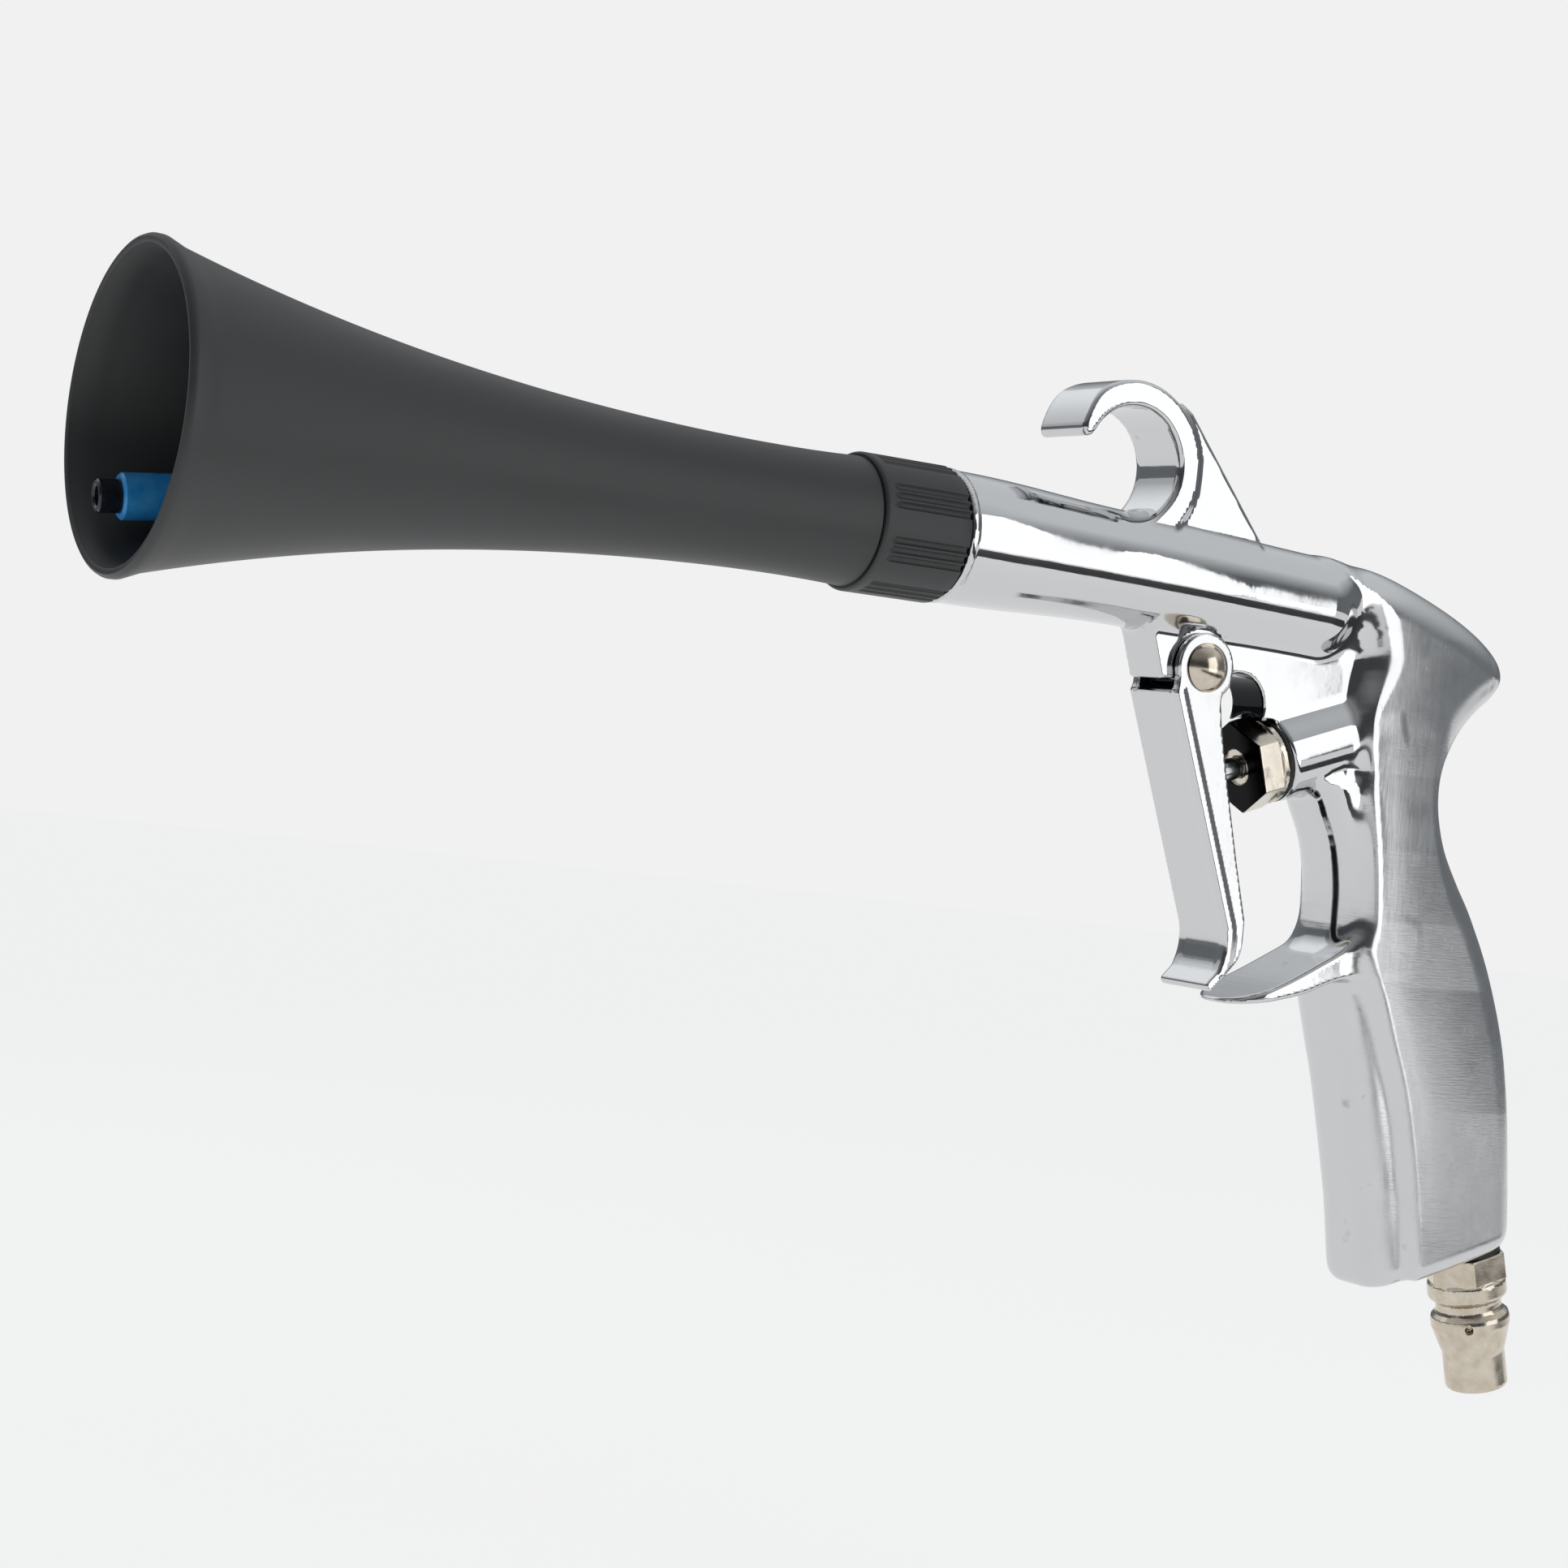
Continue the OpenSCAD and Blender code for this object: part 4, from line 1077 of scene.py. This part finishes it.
# %% Finishes of the hidden pieces
FINISH_OF_SLOT = {
    "black_rubber": RUBBER, "brass": BRASS, "bearing_steel": STEEL, "cage_nylon": CAGE,
    "spring_steel": SPRING, "white_ptfe": PTFE, "nickel_brass": NICKEL,
}
for part in frame["record"]["subparts"]:
    if part["node"] in dressed:
        continue
    solid = frame["nodes"][part["node"]]
    solid.data.materials.clear()
    solid.data.materials.append(FINISH_OF_SLOT[part["material_slot"]])
    print(part["node"], "->", FINISH_OF_SLOT[part["material_slot"]].name)

# %% [markdown]
# ## The studio
#
# A polished barrel shows whatever stands round it, so the studio is built for its
# reflections. A large soft box beside the camera gives the white band along the barrel and
# whitens the flat sides. The room round it is dark, which outlines the rounded edges, and
# a dark card on the floor draws the thin dark line under the white band. The camera itself
# sees only a white backdrop and the pale floor.

# %% Floor and card
FLOOR_Z, FLOOR_R, FLOOR_GLOW = span("air_plug")[0][2] - 60, 4000, 0.69
BOX_SIDE = Vector((0.53, -0.848, 0))      # the level direction from the gun to the soft box


def flat_piece(name, ring, material):
    """A flat piece of the studio, which isn't part of the gun."""
    made = object_of(name, ring, [list(range(len(ring)))], Matrix(), material, sharp=None)
    return made


def floor():
    """A wide pale disc under the gun, with a little light of its own so that it looks white."""
    turns = [2 * math.pi * i / 96 for i in range(96)]
    ring = [(FLOOR_R * math.cos(a), FLOOR_R * math.sin(a), FLOOR_Z) for a in turns]
    mat, shader = finish_of("matte_white_floor", "#9a9a9a", 0.0, 0.8)
    shader.inputs["Emission Color"].default_value = (1, 1, 1, 1)
    shader.inputs["Emission Strength"].default_value = FLOOR_GLOW
    return flat_piece("studio_floor", ring, mat)


def dark_card(near, far, half_length):
    """A dark strip on the floor, between two distances from the gun. Only reflections show it."""
    along = Vector((-BOX_SIDE.y, BOX_SIDE.x, 0))
    corners = [BOX_SIDE * near - along * half_length, BOX_SIDE * far - along * half_length,
               BOX_SIDE * far + along * half_length, BOX_SIDE * near + along * half_length]
    mat, _ = finish_of("grey_studio_card", "#3a3a3b", 0.0, 0.9)
    made = flat_piece("dark_card", [(c.x, c.y, FLOOR_Z + 2) for c in corners], mat)
    made.visible_camera = made.visible_shadow = False


floor()
dark_card(430, 780, 800)
print(f"floor at z = {FLOOR_Z:.0f} mm")


# %% Sky
WALL, CEILING, BACKDROP = (0.17, 0.18, 0.19, 1), (0.72, 0.74, 0.76, 1), 0.88


def sky():
    """White for the camera. For the metal, a dark room with a grey ceiling over its far side."""
    world = bpy.data.worlds.new("studio_sky")
    bpy.context.scene.world = world
    world.use_nodes = True
    world.node_tree.nodes.clear()
    where = add(world, "ShaderNodeTexCoord").outputs["Generated"]
    height = add(world, "ShaderNodeSeparateXYZ", {"Vector": where}).outputs["Z"]
    shades = add(world, "ShaderNodeValToRGB", {"Fac": height})
    for element, colour, level in zip(shades.color_ramp.elements, (WALL, CEILING), (0.3, 0.62)):
        element.color, element.position = colour, level
    strength = between(world, how_far(world, where, (0.7, 0.7, 0)), 0.35, 1.0, -0.6, 0.2)
    room = add(world, "ShaderNodeBackground",
               {"Color": shades.outputs["Color"], "Strength": strength})
    backdrop = add(world, "ShaderNodeBackground", {"Color": (1, 1, 1, 1), "Strength": BACKDROP})
    seen = add(world, "ShaderNodeLightPath").outputs["Is Camera Ray"]
    both = add(world, "ShaderNodeMixShader", {0: seen, 1: room.outputs[0], 2: backdrop.outputs[0]})
    add(world, "ShaderNodeOutputWorld", {"Surface": both.outputs[0]})


sky()


# %% Lights
def soft_box(name, place_mm, aim_mm, size_mm, watts):
    """A rectangular light that faces a point."""
    lamp = bpy.data.lights.new(name, "AREA")
    lamp.shape = "RECTANGLE"
    lamp.size, lamp.size_y = size_mm[0] * MM, size_mm[1] * MM
    lamp.energy = watts
    made = bpy.data.objects.new(name, lamp)
    made.location = Vector(place_mm) * MM
    made.rotation_euler = (Vector(aim_mm) - Vector(place_mm)).to_track_quat("-Z", "Y").to_euler()
    bpy.context.scene.collection.objects.link(made)


BARREL = Vector((0, 0, AXIS_Z))
ALONG_BOX = Vector((0.848, 0.53, 0))      # level, along the face of the soft box
TO_BOX = 900 * Vector((0.52, -0.831, 0.2))
box_place = BARREL + TO_BOX - 130 * ALONG_BOX
soft_box("side_box", box_place, box_place - TO_BOX, (640, 800), 2.3)
soft_box("rear_box", (-240, 740, 400), BARREL, (900, 460), 0.45)

# %% [markdown]
# ## The camera
#
# The camera stands in front of the mouth and to the gun's left, level with the barrel, and
# is rolled a little. Its place is given from the mouth's centre, and its aim by the way it
# looks and its own up direction.

# %% Camera
def camera():
    data = bpy.data.cameras.new("camera")
    data.sensor_width = 36
    data.lens = 74.53
    made = bpy.data.objects.new("camera", data)
    place_mm = Vector((MOUTH_X - 166.1, -457.8, AXIS_Z - 42.9))
    look = Vector((0.53072, 0.84754, -0.00385)).normalized()
    up = Vector((-0.08988, 0.06080, 0.99410))
    right = look.cross(up).normalized()
    up = right.cross(look)
    turned = Matrix((right, up, -look)).transposed().to_4x4()
    made.matrix_world = Matrix.Translation(place_mm * MM) @ turned
    bpy.context.scene.collection.objects.link(made)
    bpy.context.scene.camera = made


camera()
bpy.context.scene.view_settings.view_transform = "Standard"
print("camera set")
